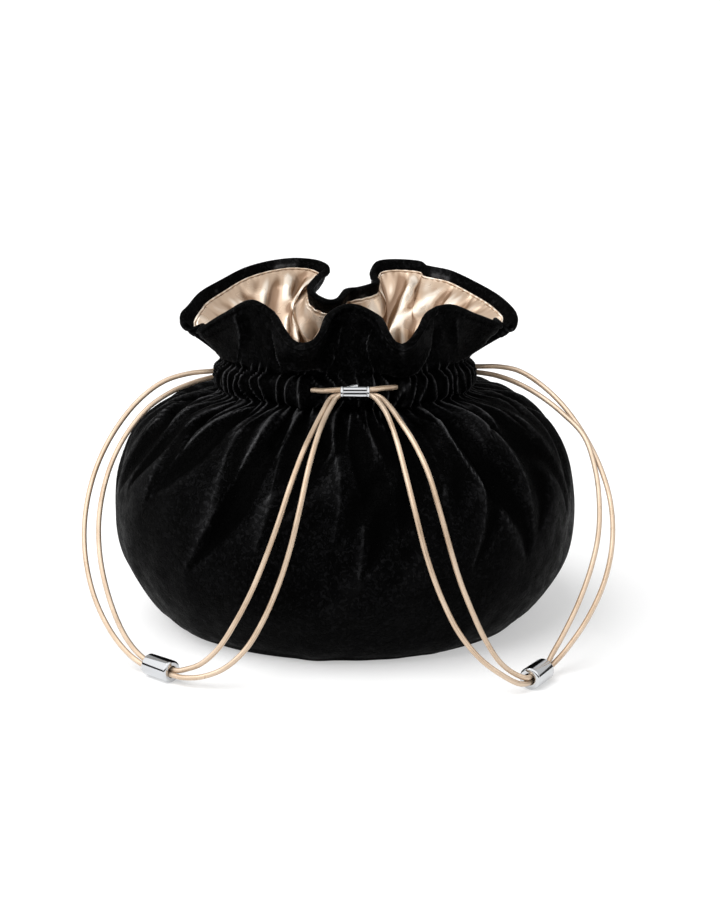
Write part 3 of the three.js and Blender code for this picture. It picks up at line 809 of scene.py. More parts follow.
main_folds = FRONT_FOLDS + back_folds()
FOLD_LAYERS = [
    # folds, width in metres, strength
    (main_folds, 0.0132, 0.9),
    (seeded_folds(38, 12, (16, 46)), 0.0048, 1),
    (seeded_folds(21, 4, (52, 104)), 0.0085, 1),
]
print("long folds:", len(main_folds), "gathers:", GATHERS)

# %% [markdown]
# A fold of gathered velvet isn't a wave. Its ridge is a thin line that drops steeply on the left and
# less so on the right, where a wide soft hollow lies next to it. Each fold is drawn by these two
# shapes across its line, and both fade towards the fold's end.

# %% Fold shapes
FOLD_END = 1.35  # where the last trace of a fold is gone, as a share of its reach


def wrapped(angle):
    return (angle + math.pi) % (2 * math.pi) - math.pi


def ridge_and_hollow(across, share, ridge, hollow, width):
    """A crisp ridge, and on its right a hollow that narrows to a point where the fold ends."""
    start = np.minimum(share / 0.12, 1)
    end = np.clip(1 - share, 0, 1)
    spread = width * (0.35 + 0.8 * share)
    narrow = np.maximum(np.clip(end / 0.35, 0, 1) ** 0.7, 0.08)
    slope = np.where(across < 0, 0.0062, 0.0022) * (0.5 + 0.8 * share)
    crest = ridge * np.exp(-np.abs(across) / slope) * np.clip(1.15 - share, 0, 1) ** 0.9
    middle = 0.8 * spread * narrow
    cup = np.exp(-np.abs((across - middle) / (0.66 * spread * narrow)) ** 1.9)
    depth = hollow * np.minimum(share / 0.3, 1) ** 0.7 * np.clip(end / 0.25, 0, 1) ** 0.8
    return (crest - depth * cup) * (0.55 + 0.45 * start)


def fold_heights(down, radius, folds, width):
    """The summed height of folds at each column and each row's distance from the gathers."""
    total = np.zeros((len(down), COLUMNS))
    for points, ridge, hollow in folds:
        degrees = np.array([point[0] for point in points], dtype=float)
        reaches = np.array([point[1] for point in points], dtype=float) / 1000
        line = np.radians(np.interp(down, reaches, degrees) + 1.1 * np.sin(90 * down + degrees[0]))
        way = down / reaches[-1]
        share = np.minimum(way, FOLD_END)[:, None]
        across = wrapped(column_angle[None, :] - line[:, None]) * radius[:, None]
        lift = ridge_and_hollow(across, share, ridge / 1000, hollow / 1000, width)
        total += lift * (way < FOLD_END)[:, None]
    return total


def uneven(angle, height, sizes, seed):
    """Slow swells round the pouch that drift with height: a pattern that never repeats neatly."""
    maker = np.random.default_rng(seed)
    total = 0
    for times, size in sizes:
        drift = maker.uniform(-3, 3) * height
        total = total + size * np.sin(times * angle + drift + maker.uniform(0, 2 * math.pi))
    return total


def gather_heights(height):
    """Pinched gathers, from 0 in the valleys to 1 on the ridges, wandering as they rise."""
    angle = column_angle[None, :]
    swells = ((3, 1.4), (7, 1.2), (13, 1.0), (19, 0.8), (31, 0.7), (43, 0.5))
    bow = 1.1 * np.sin(math.pi * np.clip(height, 0, 1))[:, None] * np.sin(angle)
    phase = GATHERS * angle + uneven(angle, 2.2 * height[:, None], swells, 3) - bow
    return 1 - np.abs(np.sin(phase / 2)) ** 0.85


print("gather ridges from", gather_heights(np.zeros(1)).min().round(2), "to 1")

# %% [markdown]
# Folds are measured along the cloth, not by height: how far down the body from the lower stitch row,
# and how far up the ruffle from the upper one. The ruffle's small creases start at its foot.

# %% Distances and creases
def profile_distance():
    """The mean distance up the cloth from its first ring, for each ring."""
    steps = np.linalg.norm(np.diff(plain, axis=0), axis=2).mean(axis=1)
    return np.concatenate([[0], np.cumsum(steps)])


along_cloth = profile_distance()
mean_radius = np.linalg.norm(plain[:, :, :2], axis=2).mean(axis=1)
lower_row = int(np.searchsorted(ways, LOWER_STITCH))
upper_row = int(np.searchsorted(ways, UPPER_STITCH))
down_body = np.maximum(along_cloth[lower_row] - along_cloth, 0)
up_ruffle = np.maximum(along_cloth - along_cloth[upper_row], 0)
casing_share = np.clip((ways - LOWER_STITCH) / (UPPER_STITCH - LOWER_STITCH), 0, 1)


def random_folds(count, reach, width, height, lean, seed):
    maker = np.random.default_rng(seed)
    folds = []
    for k in range(count):
        place = 2 * math.pi * (k + maker.uniform(-0.3, 0.3)) / count
        slant = maker.normal(0, lean)
        folds.append((place, slant, *(maker.uniform(*limits) for limits in (reach, width, height))))
    return folds


def crease_field(angle, way, folds):
    """The height of soft creases at each angle and distance from where they start."""
    total = np.zeros(np.broadcast(angle, way).shape)
    for place, lean, reach, width, height in folds:
        share = np.clip(way / reach, 0, 3)
        distance = wrapped(angle - place - lean * way) / (width * (1 + 1.1 * share))
        total += height * np.exp(-1.6 * share ** 1.8) * np.exp(-np.abs(distance) ** 1.3)
    return total


ruffle_folds = random_folds(20, (0.008, 0.02), (0.05, 0.09), (0.0004, 0.0011), 0.6, 21)
print("ruffle creases:", len(ruffle_folds))

# %% [markdown]
# The ruffle's own folds are drawn on the cloth as lines, in degrees round and shares of the way up.
# Seen along a line, the cloth rises gently on its left to a ridge and drops to a hollow on its right.
# The ears at both sides hang over the casing, and each drooping flute ends below in such an edge.
# Then all heights are summed and lift the plain grid: long folds on the body, puffed gathers and two
# bumps over the front cord on the casing, creases and drawn folds on the ruffle.

# %% Fold lines
ROUND_MM = 1.15
UP_MM = 38
RUFFLE_LINES = [
    # (degrees round, share of the way up) points, ridge, hollow and width in mm
    ([(-76, 0.24), (-72, 0.18), (-66, 0.12), (-56, 0.08), (-44, 0.03)], 1.8, 1.6, 5),
    ([(44, 0.04), (58, 0.09), (67, 0.16), (74, 0.36), (78, 0.62)], 1.8, 1.8, 5),
    ([(-40, 0.85), (-34, 0.6), (-30, 0.4), (-25, 0.38), (-19, 0.3), (-12, 0.13), (-8, 0.05)], 3.2, 2.6, 6),
    ([(-8, 0.05), (-5.5, 0.25), (-7, 0.5)], 1.1, 0.8, 5),
    ([(14, 0.1), (22, 0.16), (30, 0.16), (39, 0.43), (45, 0.8)], 3.2, 2.6, 6),
    ([(10, 0.85), (8, 0.5), (13, 0.12)], 1.4, 1.2, 6),
    ([(-56, 0.3), (-55, 0.5), (-56.5, 0.73), (-57.5, 0.9)], 1.6, 1.0, 5),
    ([(55, 0.85), (57, 0.6), (60, 0.35)], 1.2, 0.8, 5),
    ([(-3, 0.8), (-4, 0.6), (-3.5, 0.2)], 0.7, 0.5, 5),
]


def line_heights(lines, shares, steep):
    """The summed height of folds drawn as lines, for rows at the given shares of the way up."""
    across = np.degrees(column_angle)[None, :] * ROUND_MM
    up = np.asarray(shares)[:, None] * UP_MM
    turn = 360 * ROUND_MM
    total = np.zeros((len(shares), COLUMNS))
    for points, ridge, hollow, width in lines:
        drawn = np.array([(degree * ROUND_MM, share * UP_MM, 0) for degree, share in points])
        fine = smooth_path(drawn, np.linspace(0, len(drawn) - 1, 14 * (len(drawn) - 1) + 1))
        heading = np.gradient(fine, axis=0)
        away = (across[:, :, None] - fine[:, 0] + turn / 2) % turn - turn / 2
        rise = up[:, :, None] - fine[:, 1]
        distance = np.hypot(away, rise)
        nearest = distance.argmin(axis=2)[:, :, None]
        side = np.take_along_axis(heading[:, 0] * rise - heading[:, 1] * away, nearest, 2)[:, :, 0]
        gap = np.take_along_axis(distance, nearest, 2)[:, :, 0] / width
        taper = np.sin(math.pi * np.clip(nearest[:, :, 0] / (len(fine) - 1), 0.015, 0.985)) ** 0.5
        edge = ridge * np.exp(-(gap / np.where(side > 0, 1.0, steep)) ** 1.3)
        cup = np.where(side > 0, 0, hollow * np.exp(-((gap - 0.9) / 0.5) ** 2))
        total += taper * (edge - cup) / 1000
    return total


GATHER_HEIGHT = 0.0028
CORD_BUMP = 0.0034
CORD_BUMP_TURNS = (-18.5, 25.5)  # where the front cord lies under the casing, in degrees


def velvet_heights():
    heights = np.zeros(plain.shape[:2])
    angle = column_angle[None, :]
    share = casing_share[:, None]
    at_holes = np.exp(-(np.abs(np.degrees(wrapped(column_angle - 0.09))) / 36) ** 6)[None, :]
    size = 0.8 + uneven(angle, share, ((5, 0.2), (11, 0.2), (23, 0.15)), 8)
    size = size * (1 - 0.45 * at_holes)
    pinch = gather_heights(casing_share)
    gathers = (pinch - 0.5) * GATHER_HEIGHT * size
    body = (ways <= LOWER_STITCH)[:, None]
    near = np.exp(-down_body / 0.006)[:, None]
    folds = sum(
        strength * fold_heights(down_body, mean_radius, layer, width)
        for layer, width, strength in FOLD_LAYERS
    )
    swells = ((4, 1), (9, 0.8), (17, 0.5), (27, 0.4))
    dents = 0.0004 * uneven(angle, 60 * down_body[:, None], swells, 14)
    dents = dents * np.clip(down_body / 0.03, 0, 1)[:, None]
    heights += body * (folds * (1 - 0.7 * near) + gathers * near + dents)
    inside = ((ways > LOWER_STITCH) & (ways < UPPER_STITCH))[:, None]
    puff = np.sin(math.pi * share) ** 0.8
    casing = gathers + puff * (0.0012 * pinch - 0.0022 * (1 - at_holes)) * size
    turn = np.degrees(wrapped(angle))
    over_cord = sum(np.exp(-(turn - middle) ** 2 / 22) for middle in CORD_BUMP_TURNS)
    casing = np.maximum(casing, -0.0016) + CORD_BUMP * puff * over_cord
    heights += inside * casing
    ruffle = (ways >= UPPER_STITCH)[:, None]
    fade = np.exp(-up_ruffle / 0.0022)[:, None]
    creases = crease_field(angle, up_ruffle[:, None], ruffle_folds)
    creases = creases * np.clip(up_ruffle / 0.003, 0, 1)[:, None]
    rise = np.clip(ways - UPPER_STITCH, 0, 1)
    drawn = line_heights(RUFFLE_LINES, rise, 0.22) * np.clip(rise / 0.08, 0, 1)[:, None]
    heights += ruffle * (gathers * fade + creases + drawn)
    return heights


SEAM_BELOW_RIM = 0.0042


def seam_heights():
    """The line of stitches that holds the hem, seen from outside a little below the rim."""
    angle = column_angle[None, :]
    rise = np.clip(ways - UPPER_STITCH, 0, 1)
    below_rim = ((1 - rise) * UP_MM / 1000)[:, None]
    off_seam = below_rim - SEAM_BELOW_RIM
    groove = 0.0004 - 0.0008 * np.exp(-(off_seam / 0.001) ** 2)
    stitches = 0.00016 * np.sin(110 * angle + 2 * np.sin(13 * angle))
    stitches = stitches * np.exp(-np.abs(off_seam) / 0.0015)
    return (groove + stitches) * np.clip(below_rim / 0.0013, 0, 1) * (below_rim < 0.01)


heights = velvet_heights()
velvet_face = plain + plain_normals * (heights + seam_heights())[:, :, None]
print("fold heights:", round(heights.min() * 1000, 2), "to", round(heights.max() * 1000, 2), "mm")

# %% [markdown]
# Pile that is bent over a ridge catches the light, and pile down in a fold lies dark. The shader
# can't know where the ridges are, so each point gets a mark: how sharply the cloth turns there, a
# little more where the cloth stands high on the body, and less down in the wide hollows. The velvet
# finish turns these marks into painted highlight on the ridges and painted shade in the hollows.

# %% Crest marks
def turning(face, normals, before, after):
    """How far a point stands out from the middle of two others, over half their distance."""
    out = np.einsum("ijk,ijk->ij", face - (before + after) / 2, normals)
    return out / np.maximum(np.linalg.norm(after - before, axis=2) / 2, 1e-6)


def crest_marks(face, reach):
    """From -1 in sharp valleys to 1 on sharp ridges."""
    normals = normals_of(face)
    sideways = turning(face, normals, np.roll(face, reach, axis=1), np.roll(face, -reach, axis=1))
    padded = np.concatenate([face[:1], face, face[-1:]])
    upwards = turning(face, normals, padded[:-2], padded[2:])
    return np.clip(2.2 * sideways + 0.6 * upwards, -1, 1)


painted_light_marks = 0.75 * crest_marks(velvet_face, 1) + 0.3 * crest_marks(velvet_face, 3)
on_body = (ways <= LOWER_STITCH)[:, None]
# Painted highlight where the cloth stands high on the body.
painted_light_marks = painted_light_marks * np.where(on_body, 1, 0.82) + 0.26 * on_body * np.clip(heights / 0.0018, 0, 1)
# Painted shade down in the wide hollows.
painted_light_marks = np.clip(painted_light_marks - 0.6 * np.clip((-0.0003 - heights) / 0.0022, 0, 1), -1, 1)
print("crest marks:", painted_light_marks.min().round(2), "to", painted_light_marks.max().round(2))

# %% [markdown]
# The inner layers of cloth lie behind the deepest hollow near them, so nothing pokes through.

# %% Deepest hollows
def deepest_near(heights, rows, columns):
    low = heights.copy()
    for k in range(1, columns + 1):
        low = np.minimum(low, np.minimum(np.roll(heights, k, axis=1), np.roll(heights, -k, axis=1)))
    spread = low.copy()
    for k in range(1, rows + 1):
        spread[k:] = np.minimum(spread[k:], low[:-k])
        spread[:-k] = np.minimum(spread[:-k], low[k:])
    return np.minimum(spread, 0)


hollows = deepest_near(heights, 3, 4)


def inner_ring(way, depth):
    """A ring inside the velvet: a depth behind the deepest hollow near it."""
    row = min(int(np.searchsorted(ways, way)), len(ways) - 1)
    return plain[row] + plain_normals[row] * (hollows[row] - depth)[:, None]


print("deepest hollow:", round(hollows.min() * 1000, 2), "mm")

# %% [markdown]
# ## Velvet finish
# Velvet is a short standing pile. Seen straight on it swallows light, and along the edge of a fold
# it brightens. That light and shade are painted into the base colour where the crest marks say: a
# painted highlight as a wide soft band on each ridge, a thin bright painted line on its edge, and
# painted black shade in the hollows. Crushed pile lies in patches, so noise in the piece's own space
# breaks these painted lines and gives the ground its fine curls. The shader's own sheen adds only a trace.

# %% Velvet finish
def make_velvet_finish():
    finish = Finish("crushed_velvet")
    place = finish.place()
    turn = finish.node("ShaderNodeAttribute", {"attribute_name": "crest"}, {}).out("Fac")
    # Masks for the painted highlight: a soft band on the ridges and a thin line on their edges.
    ridge = finish.span(turn, 0.06, 0.5)
    edge = finish.span(turn, 0.42, 0.95)
    # Mask for the painted shade in the hollows.
    hollow_shade = finish.span(turn, -0.04, -0.5)
    patches = finish.noise(place, 60.0, detail=3, roughness=0.6)
    crush = finish.noise(place, 150.0, detail=3, roughness=0.6)
    curls = finish.noise(place, 560.0, detail=1.5, roughness=0.5, distortion=0.6)
    pile = finish.noise(place, 1500.0, detail=2, roughness=0.7)
    squiggle = finish.span(abs(curls - 0.5), 0.01, 0.06)
    gleam = finish.span(abs(curls - 0.62), 0.05, 0.01)
    tone = patches * 0.45 + crush * 0.55
    ground = finish.ramp(tone, (0.42, (0.0002, 0.0002, 0.0002)), (0.66, (0.0024, 0.0024, 0.0026)))
    ground = finish.mix(squiggle, (0.0002, 0.0002, 0.0002, 1), ground)
    ground = finish.mix(gleam * 0.5, ground, (0.0065, 0.0065, 0.007, 1))
    broken = finish.span(crush * 0.35 + curls * 0.65, 0.38, 0.64, 0.15, 0.8)
    # The painted highlights, broken by noise, then the painted black shade in the hollows.
    lit = finish.mix(ridge * broken, ground, (0.02, 0.02, 0.021, 1))
    lit = finish.mix(edge * (broken * 0.5 + 0.5), lit, (0.066, 0.066, 0.068, 1))
    color = finish.mix(hollow_shade, lit, (0.0001, 0.0001, 0.0001, 1))
    coarse = finish.bump(squiggle * 0.35 + crush * 0.65, 0.0012, 0.9)
    return finish.surface(
        Base_Color=color,
        Roughness=finish.span(crush, 0.35, 0.7, 0.42, 0.62),
        Normal=finish.bump(pile, 0.0002, 0.6, coarse),
        Sheen_Weight=0.0012,
        Sheen_Roughness=0.35,
        Sheen_Tint=(0.75, 0.76, 0.8, 1),
        Specular_IOR_Level=0.012,
    )


crushed_velvet = make_velvet_finish()
print("finish:", crushed_velvet.name)

# %% [markdown]
# ## Spinning the cloth
# The rings of a cloth piece are spun from a profile of single points. Each point carries the number
# of its ring, so after the spin every vertex knows its ring and column and can be moved to its
# place in the shaped grid.

# %% Cloth from rings
def spun_rings(count, start, end):
    """A closed mesh of rings between two poles. Every vertex carries the number of its ring."""
    mesh = bmesh.new()
    number = mesh.verts.layers.int.new("ring")
    heights = np.linspace(start[2], end[2], count + 2)
    corners = []
    for k, height in enumerate(heights):
        radius = 0.05 * math.sin(math.pi * k / (count + 1))
        corner = mesh.verts.new((0, -radius, height + 0.05 * math.cos(math.pi * k / (count + 1))))
        corner[number] = k
        corners.append(corner)
    edges = [mesh.edges.new(pair) for pair in zip(corners, corners[1:])]
    bmesh.ops.spin(
        mesh, geom=corners + edges, cent=(0, 0, 0), axis=(0, 0, 1), dvec=(0, 0, 0),
        angle=2 * math.pi, steps=COLUMNS, use_merge=True, use_duplicate=False,
    )
    poles = [v for v in mesh.verts if v[number] in (0, count + 1)]
    bmesh.ops.remove_doubles(mesh, verts=poles, dist=1e-5)
    return mesh


def cloth_piece(name, rings, marks, start, end, material, replaces):
    """A closed cloth from a start pole through rings of points to an end pole."""
    data = mesh_data(spun_rings(len(rings), start, end), name)
    count = len(data.vertices)
    number = np.empty(count, dtype=np.int32)
    data.attributes["ring"].data.foreach_get("value", number)
    place = np.empty(3 * count)
    data.vertices.foreach_get("co", place)
    place = place.reshape(-1, 3)
    turn = np.arctan2(place[:, 0], -place[:, 1]) % (2 * math.pi)
    column = np.round(turn / (2 * math.pi) * COLUMNS).astype(int) % COLUMNS
    grid = np.array(rings)
    inner = (number > 0) & (number <= len(rings))
    place[inner] = grid[number[inner] - 1, column[inner]]
    place[number == 0] = start
    place[number == len(rings) + 1] = end
    data.vertices.foreach_set("co", place.ravel())
    # Each point's mark goes on as the crest attribute, which the finishes paint as highlight and shade.
    crest = np.zeros(count)
    crest[inner] = np.array(marks)[number[inner] - 1, column[inner]]
    data.attributes.new("crest", "FLOAT", "POINT").data.foreach_set("value", crest)
    data.attributes.remove(data.attributes["ring"])
    mesh = bmesh.new()
    mesh.from_mesh(data)
    bpy.data.meshes.remove(data)
    if mesh.calc_volume(signed=True) < 0:
        bmesh.ops.reverse_faces(mesh, faces=mesh.faces[:])
    return finish_piece(mesh, name, [material], replaces, sharp=math.radians(180))


# %% [markdown]
# ## Velvet shell
# The cloth is turned in at the rim and sewn down, so the edge seen from above is a soft roll, twice
# as thick as the cloth. The rings run from the middle of the base up the outside, round the roll,
# down the turned hem, and inside the wall back to the middle. So the shell is closed and has a wall.

# %% Velvet piece
VELVET_WALL = 0.0016
HEM_THICKNESS = 2 * VELVET_WALL
HEM_DEPTH = 0.0060
BASE_SHARES = (0.25, 0.5, 0.75, 0.93)
ROLL_STEPS = 8
hem_run = (HEM_DEPTH * hem_share[:, None] - VELVET_WALL).clip(0.0004)


def rim_frame():
    """The rim's points, the way out of the cloth there, and the way down it."""
    top = velvet_face[-1]
    down = velvet_face[-3] - top
    return top, plain_normals[-1], down / np.linalg.norm(down, axis=1, keepdims=True)


def velvet_rings():
    rings = []
    for share in BASE_SHARES:
        flat = velvet_face[0] * share
        flat[:, 2] = 0
        rings.append(flat)
    rings.extend(velvet_face[:-1])
    top, normal, down = rim_frame()
    middle = top - normal * VELVET_WALL + down * VELVET_WALL
    for step in range(1, ROLL_STEPS):
        turn = math.pi * step / ROLL_STEPS
        out = normal * VELVET_WALL * math.cos(turn)
        rings.append(middle + out - down * VELVET_WALL * math.sin(turn))
    inner = top - normal * HEM_THICKNESS
    for share in (0.33, 0.66, 1.0):
        rings.append(inner + down * (VELVET_WALL + hem_run * share))
    step_in = top - normal * VELVET_WALL
    rings.append(step_in + down * (hem_run + VELVET_WALL + 0.0003))
    for share in (0.7, 0.42, 0.17, 0):
        rings.append(inner_ring(UPPER_STITCH + share, VELVET_WALL))
    for way in (UPPER_STITCH - 1.5, LOWER_STITCH, 7.6, 7, 6.5, 6, 5, 4, 3, 1, 0.3):
        rings.append(inner_ring(way, VELVET_WALL))
    last = rings[-1].copy()
    last[:, 2] = VELVET_WALL
    rings[-1] = last
    return rings


velvet_ring_list = velvet_rings()
# Painted highlight spots in places along the roll of the rim and down the hem.
rim_painted_highlights = uneven(column_angle, 0, ((7, 0.5), (15, 0.5), (27, 0.4), (61, 0.3)), 41)
rim_painted_highlights = np.clip(rim_painted_highlights - 0.3, 0, 0.9)
unlit = np.zeros(COLUMNS)
# The velvet's marks for painted highlight and shade, none on the base and the inner wall.
velvet_painted_light = [unlit] * len(BASE_SHARES) + list(painted_light_marks[:-1])
velvet_painted_light += [painted_light_marks[-1]] * 3 + [0.4 * rim_painted_highlights] * 5 + [rim_painted_highlights] * 2
velvet_painted_light += [unlit] * (len(velvet_ring_list) - len(velvet_painted_light))
velvet = cloth_piece(
    "pouch_velvet", velvet_ring_list, velvet_painted_light, (0, 0, 0), (0, 0, VELVET_WALL),
    crushed_velvet, "velvet_shell",
)
print("velvet:", len(velvet.data.polygons), "faces")

# %% [markdown]
# ## Satin finish
# Satin is woven so that long threads float on its face, which gives a soft, wide gloss. The gloss
# comes from a partly metallic surface, and crest marks like the velvet's paint highlight onto the
# ridges and shade into the valleys, standing in for the light that bounces between folds of real satin.

# %% Satin finish
def make_satin_finish():
    finish = Finish("champagne_satin")
    place = finish.place()
    soft = finish.noise(place, 60.0, detail=3)
    weave = finish.noise(finish.stretched(place, (1, 1, 0.3)), 1400.0, detail=2)
    turn = finish.node("ShaderNodeAttribute", {"attribute_name": "crest"}, {}).out("Fac")
    plain_tone = finish.mix(soft, (0.46, 0.33, 0.228, 1), (0.59, 0.445, 0.325, 1))
    # Painted highlight on the ridges.
    raised = finish.mix(finish.span(turn, 0.02, 0.5), plain_tone, (0.88, 0.77, 0.65, 1))
    # Painted brown shade in the valleys.
    color = finish.mix(finish.span(turn, 0.0, -0.45), raised, (0.2, 0.11, 0.055, 1))
    return finish.surface(
        Base_Color=color,
        Roughness=finish.span(soft, 0.3, 0.7, 0.22, 0.31),
        Normal=finish.bump(weave, 0.00006, 0.5, finish.bump(soft, 0.0008, 0.5)),
        Metallic=0.4,
        Specular_IOR_Level=0.9,
    )


champagne_satin = make_satin_finish()
print("finish:", champagne_satin.name)

# %% [markdown]
# ## Satin lining
# The lining starts under the hem with a thin piped edge. Below the piping it puckers, because the
# seam takes up more satin than velvet, and softer folds run down to the gathers of the neck. Its
# rings run up behind the face, round the piping, and down the face to the base. The drawn lines
# follow the folds that show in the photograph.

# %% Satin rings
PIPING = 0.0006
PIPING_STEPS = 6
FACE_RINGS = 38
NECK_RINGS = 11
BODY_RINGS = 19
CHANNEL_WIDTH = 0.0052
SATIN_LINES = [
    # (degrees round, share of the way up) points, ridge, hollow and width in mm
    ([(231, 0.88), (231.5, 0.73), (232.5, 0.6), (232, 0.4)], 3.0, 1.0, 6),
    ([(227, 0.92), (224.5, 0.78), (222.5, 0.65), (221, 0.5), (216.5, 0.35), (210, 0.17),
      (206, -0.1)], 6.0, 2.5, 6),
    ([(200, -0.1), (204.5, 0.18), (213, 0.37), (216, 0.55), (215.5, 0.75)], 5.0, 2.0, 5.5),
    ([(212, 0.85), (209, 0.63), (203, 0.52), (197, 0.4), (195, 0)], 3.0, 1.4, 6),
    ([(145, 0.4), (142, 0.55), (142.5, 0.7), (145, 0.92)], 4.0, 2.0, 5),
    ([(154, -0.1), (152, 0.08), (148.5, 0.28), (144, 0.55), (143.5, 0.7)], 6.0, 2.5, 6),
    ([(128.5, 0.92), (128, 0.75), (131.5, 0.55), (135, 0.35)], 3.6, 1.2, 7),
    ([(149, 0), (147, 0.13), (140.5, 0.27), (134, 0.42), (130, 0.52)], 3.6, 2.0, 6),
    ([(260, 0.9), (258.5, 0.78), (256.5, 0.67), (252, 0.5)], 2.4, 0.8, 5),
    ([(245, 0.9), (245, 0.6), (240, 0.3)], 3.6, 1.4, 6),
    ([(252, 0.92), (250, 0.75), (247, 0.5)], 2.6, 1.0, 4.5),
    ([(238, 0.95), (238.5, 0.8), (239, 0.6)], 2.4, 1.2, 4.5),
    ([(103, 0.95), (105.5, 0.88), (108, 0.75), (112, 0.55)], 2.4, 0.8, 5),
    ([(118, 0.9), (119, 0.6), (124, 0.3)], 3.6, 1.4, 6),
    ([(123, 0.5), (122, 0.72), (122.5, 0.93)], 2.4, 1.0, 4.5),
    ([(136, 0.5), (135, 0.7), (137, 0.93)], 2.4, 1.0, 4.5),
    ([(165, 0.85), (162, 0.5), (165, 0.1)], 3.0, 1.4, 7),
    ([(190, 0.8), (188.5, 0.6), (186, 0.3)], 2.0, 1.0, 5),
]
satin_folds = random_folds(15, (0.03, 0.06), (0.09, 0.16), (0.001, 0.003), 1.6, 31)
puff_folds = random_folds(40, (0.008, 0.022), (0.035, 0.06), (0.003, 0.0060), 0.4, 33)


def row_near(way):
    """The row of the grid nearest to a way up the cloth."""
    return int(round(np.interp(way, ways, np.arange(len(ways)))))


back_depth = VELVET_WALL + 0.0003
face_depth = back_depth + 0.001


def satin_rings():
    top, normal, down = rim_frame()
    edge_down = VELVET_WALL + hem_run + 0.0002
    floor = inner_ring(0.3, back_depth)
    floor[:, 2] = back_depth
    rings = [floor * np.array([0.5, 0.5, 1]), floor]
    for way in (1, 3, 4, 5, 6, 6.5, 7, 7.6, LOWER_STITCH, UPPER_STITCH - 1.5, UPPER_STITCH):
        rings.append(inner_ring(way, back_depth))
    for share in (0.17, 0.42, 0.7):
        rings.append(inner_ring(UPPER_STITCH + share, back_depth))
    piping_middle = top - normal * (HEM_THICKNESS - 0.0001) + down * (edge_down + PIPING)
    rings.append(top - normal * back_depth + down * (edge_down + 0.0002))
    for step in range(PIPING_STEPS + 1):
        turn = math.pi * (-0.15 + 1.2 * step / PIPING_STEPS)
        out = normal * PIPING * math.sin(turn)
        rings.append(piping_middle - down * PIPING * math.cos(turn) - out)
    reach = np.linalg.norm(velvet_face[-1] - velvet_face[upper_row], axis=1)
    limit = edge_down[:, 0] + 2 * PIPING + 0.0002
    angle = column_angle
    pucker_phase = 150 * angle + 1.3 * np.sin(11 * angle) + 0.9 * np.sin(29 * angle + 1)
    pucker = 0.5 + 0.5 * np.sin(pucker_phase)
    line_rows = np.linspace(0, 1, 60)
    drawn = line_heights(SATIN_LINES, line_rows, 0.5)
    columns = np.arange(COLUMNS)
    for way in UPPER_STITCH + np.linspace(0.97, 0, FACE_RINGS):
        row = row_near(way)
        below = (1 - (way - UPPER_STITCH)) * reach
        keep = np.maximum(below, limit + (UPPER_STITCH + 0.97 - way) * 0.002)
        share = np.clip(1 - keep / reach, 0, 1)
        from_foot = share * reach
        from_edge = keep - limit
        rise = 0.0014 + crease_field(angle, from_foot, satin_folds)
        rise = rise + crease_field(angle, from_foot, puff_folds)
        at = share * (len(line_rows) - 1)
        low = np.minimum(at.astype(int), len(line_rows) - 2)
        part = at - low
        rise = rise + drawn[low, columns] * (1 - part) + drawn[low + 1, columns] * part
        rise = rise * np.clip(from_edge / 0.011, 0, 1)
        rise = rise + 0.0005 * pucker * np.exp(-from_edge / 0.003)
        depth = face_depth - hollows[row] + np.maximum(rise, 0)
        rings.append(ruffle_points(share) - plain_normals[row] * depth[:, None])
    puff = crease_field(angle, np.zeros(COLUMNS), puff_folds) + 0.0014 + drawn[0]
    for way in np.linspace(UPPER_STITCH, LOWER_STITCH, NECK_RINGS + 1)[1:]:
        row = row_near(way)
        share = (UPPER_STITCH - way) / (UPPER_STITCH - LOWER_STITCH)
        channel = CHANNEL_WIDTH * math.sin(math.pi * min(max(share, 0), 1))
        depth = face_depth + channel - hollows[row] + np.maximum(puff, 0)
        rings.append(plain_ring(way) - plain_normals[row] * depth[:, None])
    for way in np.linspace(LOWER_STITCH, 0.3, BODY_RINGS + 1)[1:]:
        row = row_near(way)
        slack = 0.003 * math.exp(-(LOWER_STITCH - way) / 3)
        rings.append(plain[row] + plain_normals[row] * (hollows[row] - face_depth - slack)[:, None])
    last = rings[-1].copy()
    last[:, 2] = face_depth
    rings[-1] = last
    rings.append(last * np.array([0.5, 0.5, 1]))
    return rings


def relaxed(rings, first, last, rounds):
    """Rings with points drawn towards their neighbours, as taut cloth smooths its own creases."""
    grid = np.array(rings)
    for _ in range(rounds):
        middle = grid[first:last]
        around = np.roll(middle, 1, axis=1) + np.roll(middle, -1, axis=1)
        around = around + grid[first - 1:last - 1] + grid[first + 1:last + 1]
        grid[first:last] = 0.5 * middle + 0.125 * around
    return grid


satin_ring_list = satin_rings()
first_face = len(satin_ring_list) - 1 - BODY_RINGS - NECK_RINGS - FACE_RINGS
satin_grid = relaxed(satin_ring_list, first_face + 2, len(satin_ring_list) - 12, 6)
# Marks for the satin's painted highlight and shade.
satin_painted_light = sum(
    share * crest_marks(satin_grid, reach) for share, reach in ((0.35, 2), (0.4, 5), (0.4, 9))
)
satin = cloth_piece(
    "pouch_satin", list(satin_grid), satin_painted_light, (0, 0, back_depth), (0, 0, face_depth),
    champagne_satin, "satin_lining",
)
print("satin:", len(satin.data.polygons), "faces")

# %% [markdown]
# ## Area of the cloth
# The velvet was cut as a round base and a wide strip that the cord gathers, and the lining the same.
# The flat size and the area of the cut cloth would say how much of it the folds take up; here only
# half the surface area of each closed piece is printed.

def cloth_area(piece):
    mesh = bmesh.new()
    mesh.from_mesh(piece.data)
    area = sum(face.calc_area() for face in mesh.faces) / 2
    mesh.free()
    return area


for piece in (velvet, satin):
    print(piece.name, "area", round(cloth_area(piece), 4), "square metres")

# %% [markdown]
# ## Floor and light
# The table and the backdrop are one pale surface that gives off a little light of its own, so it
# stays white under a soft shadow. Matt finishes that glow serve the cards of the next step too.

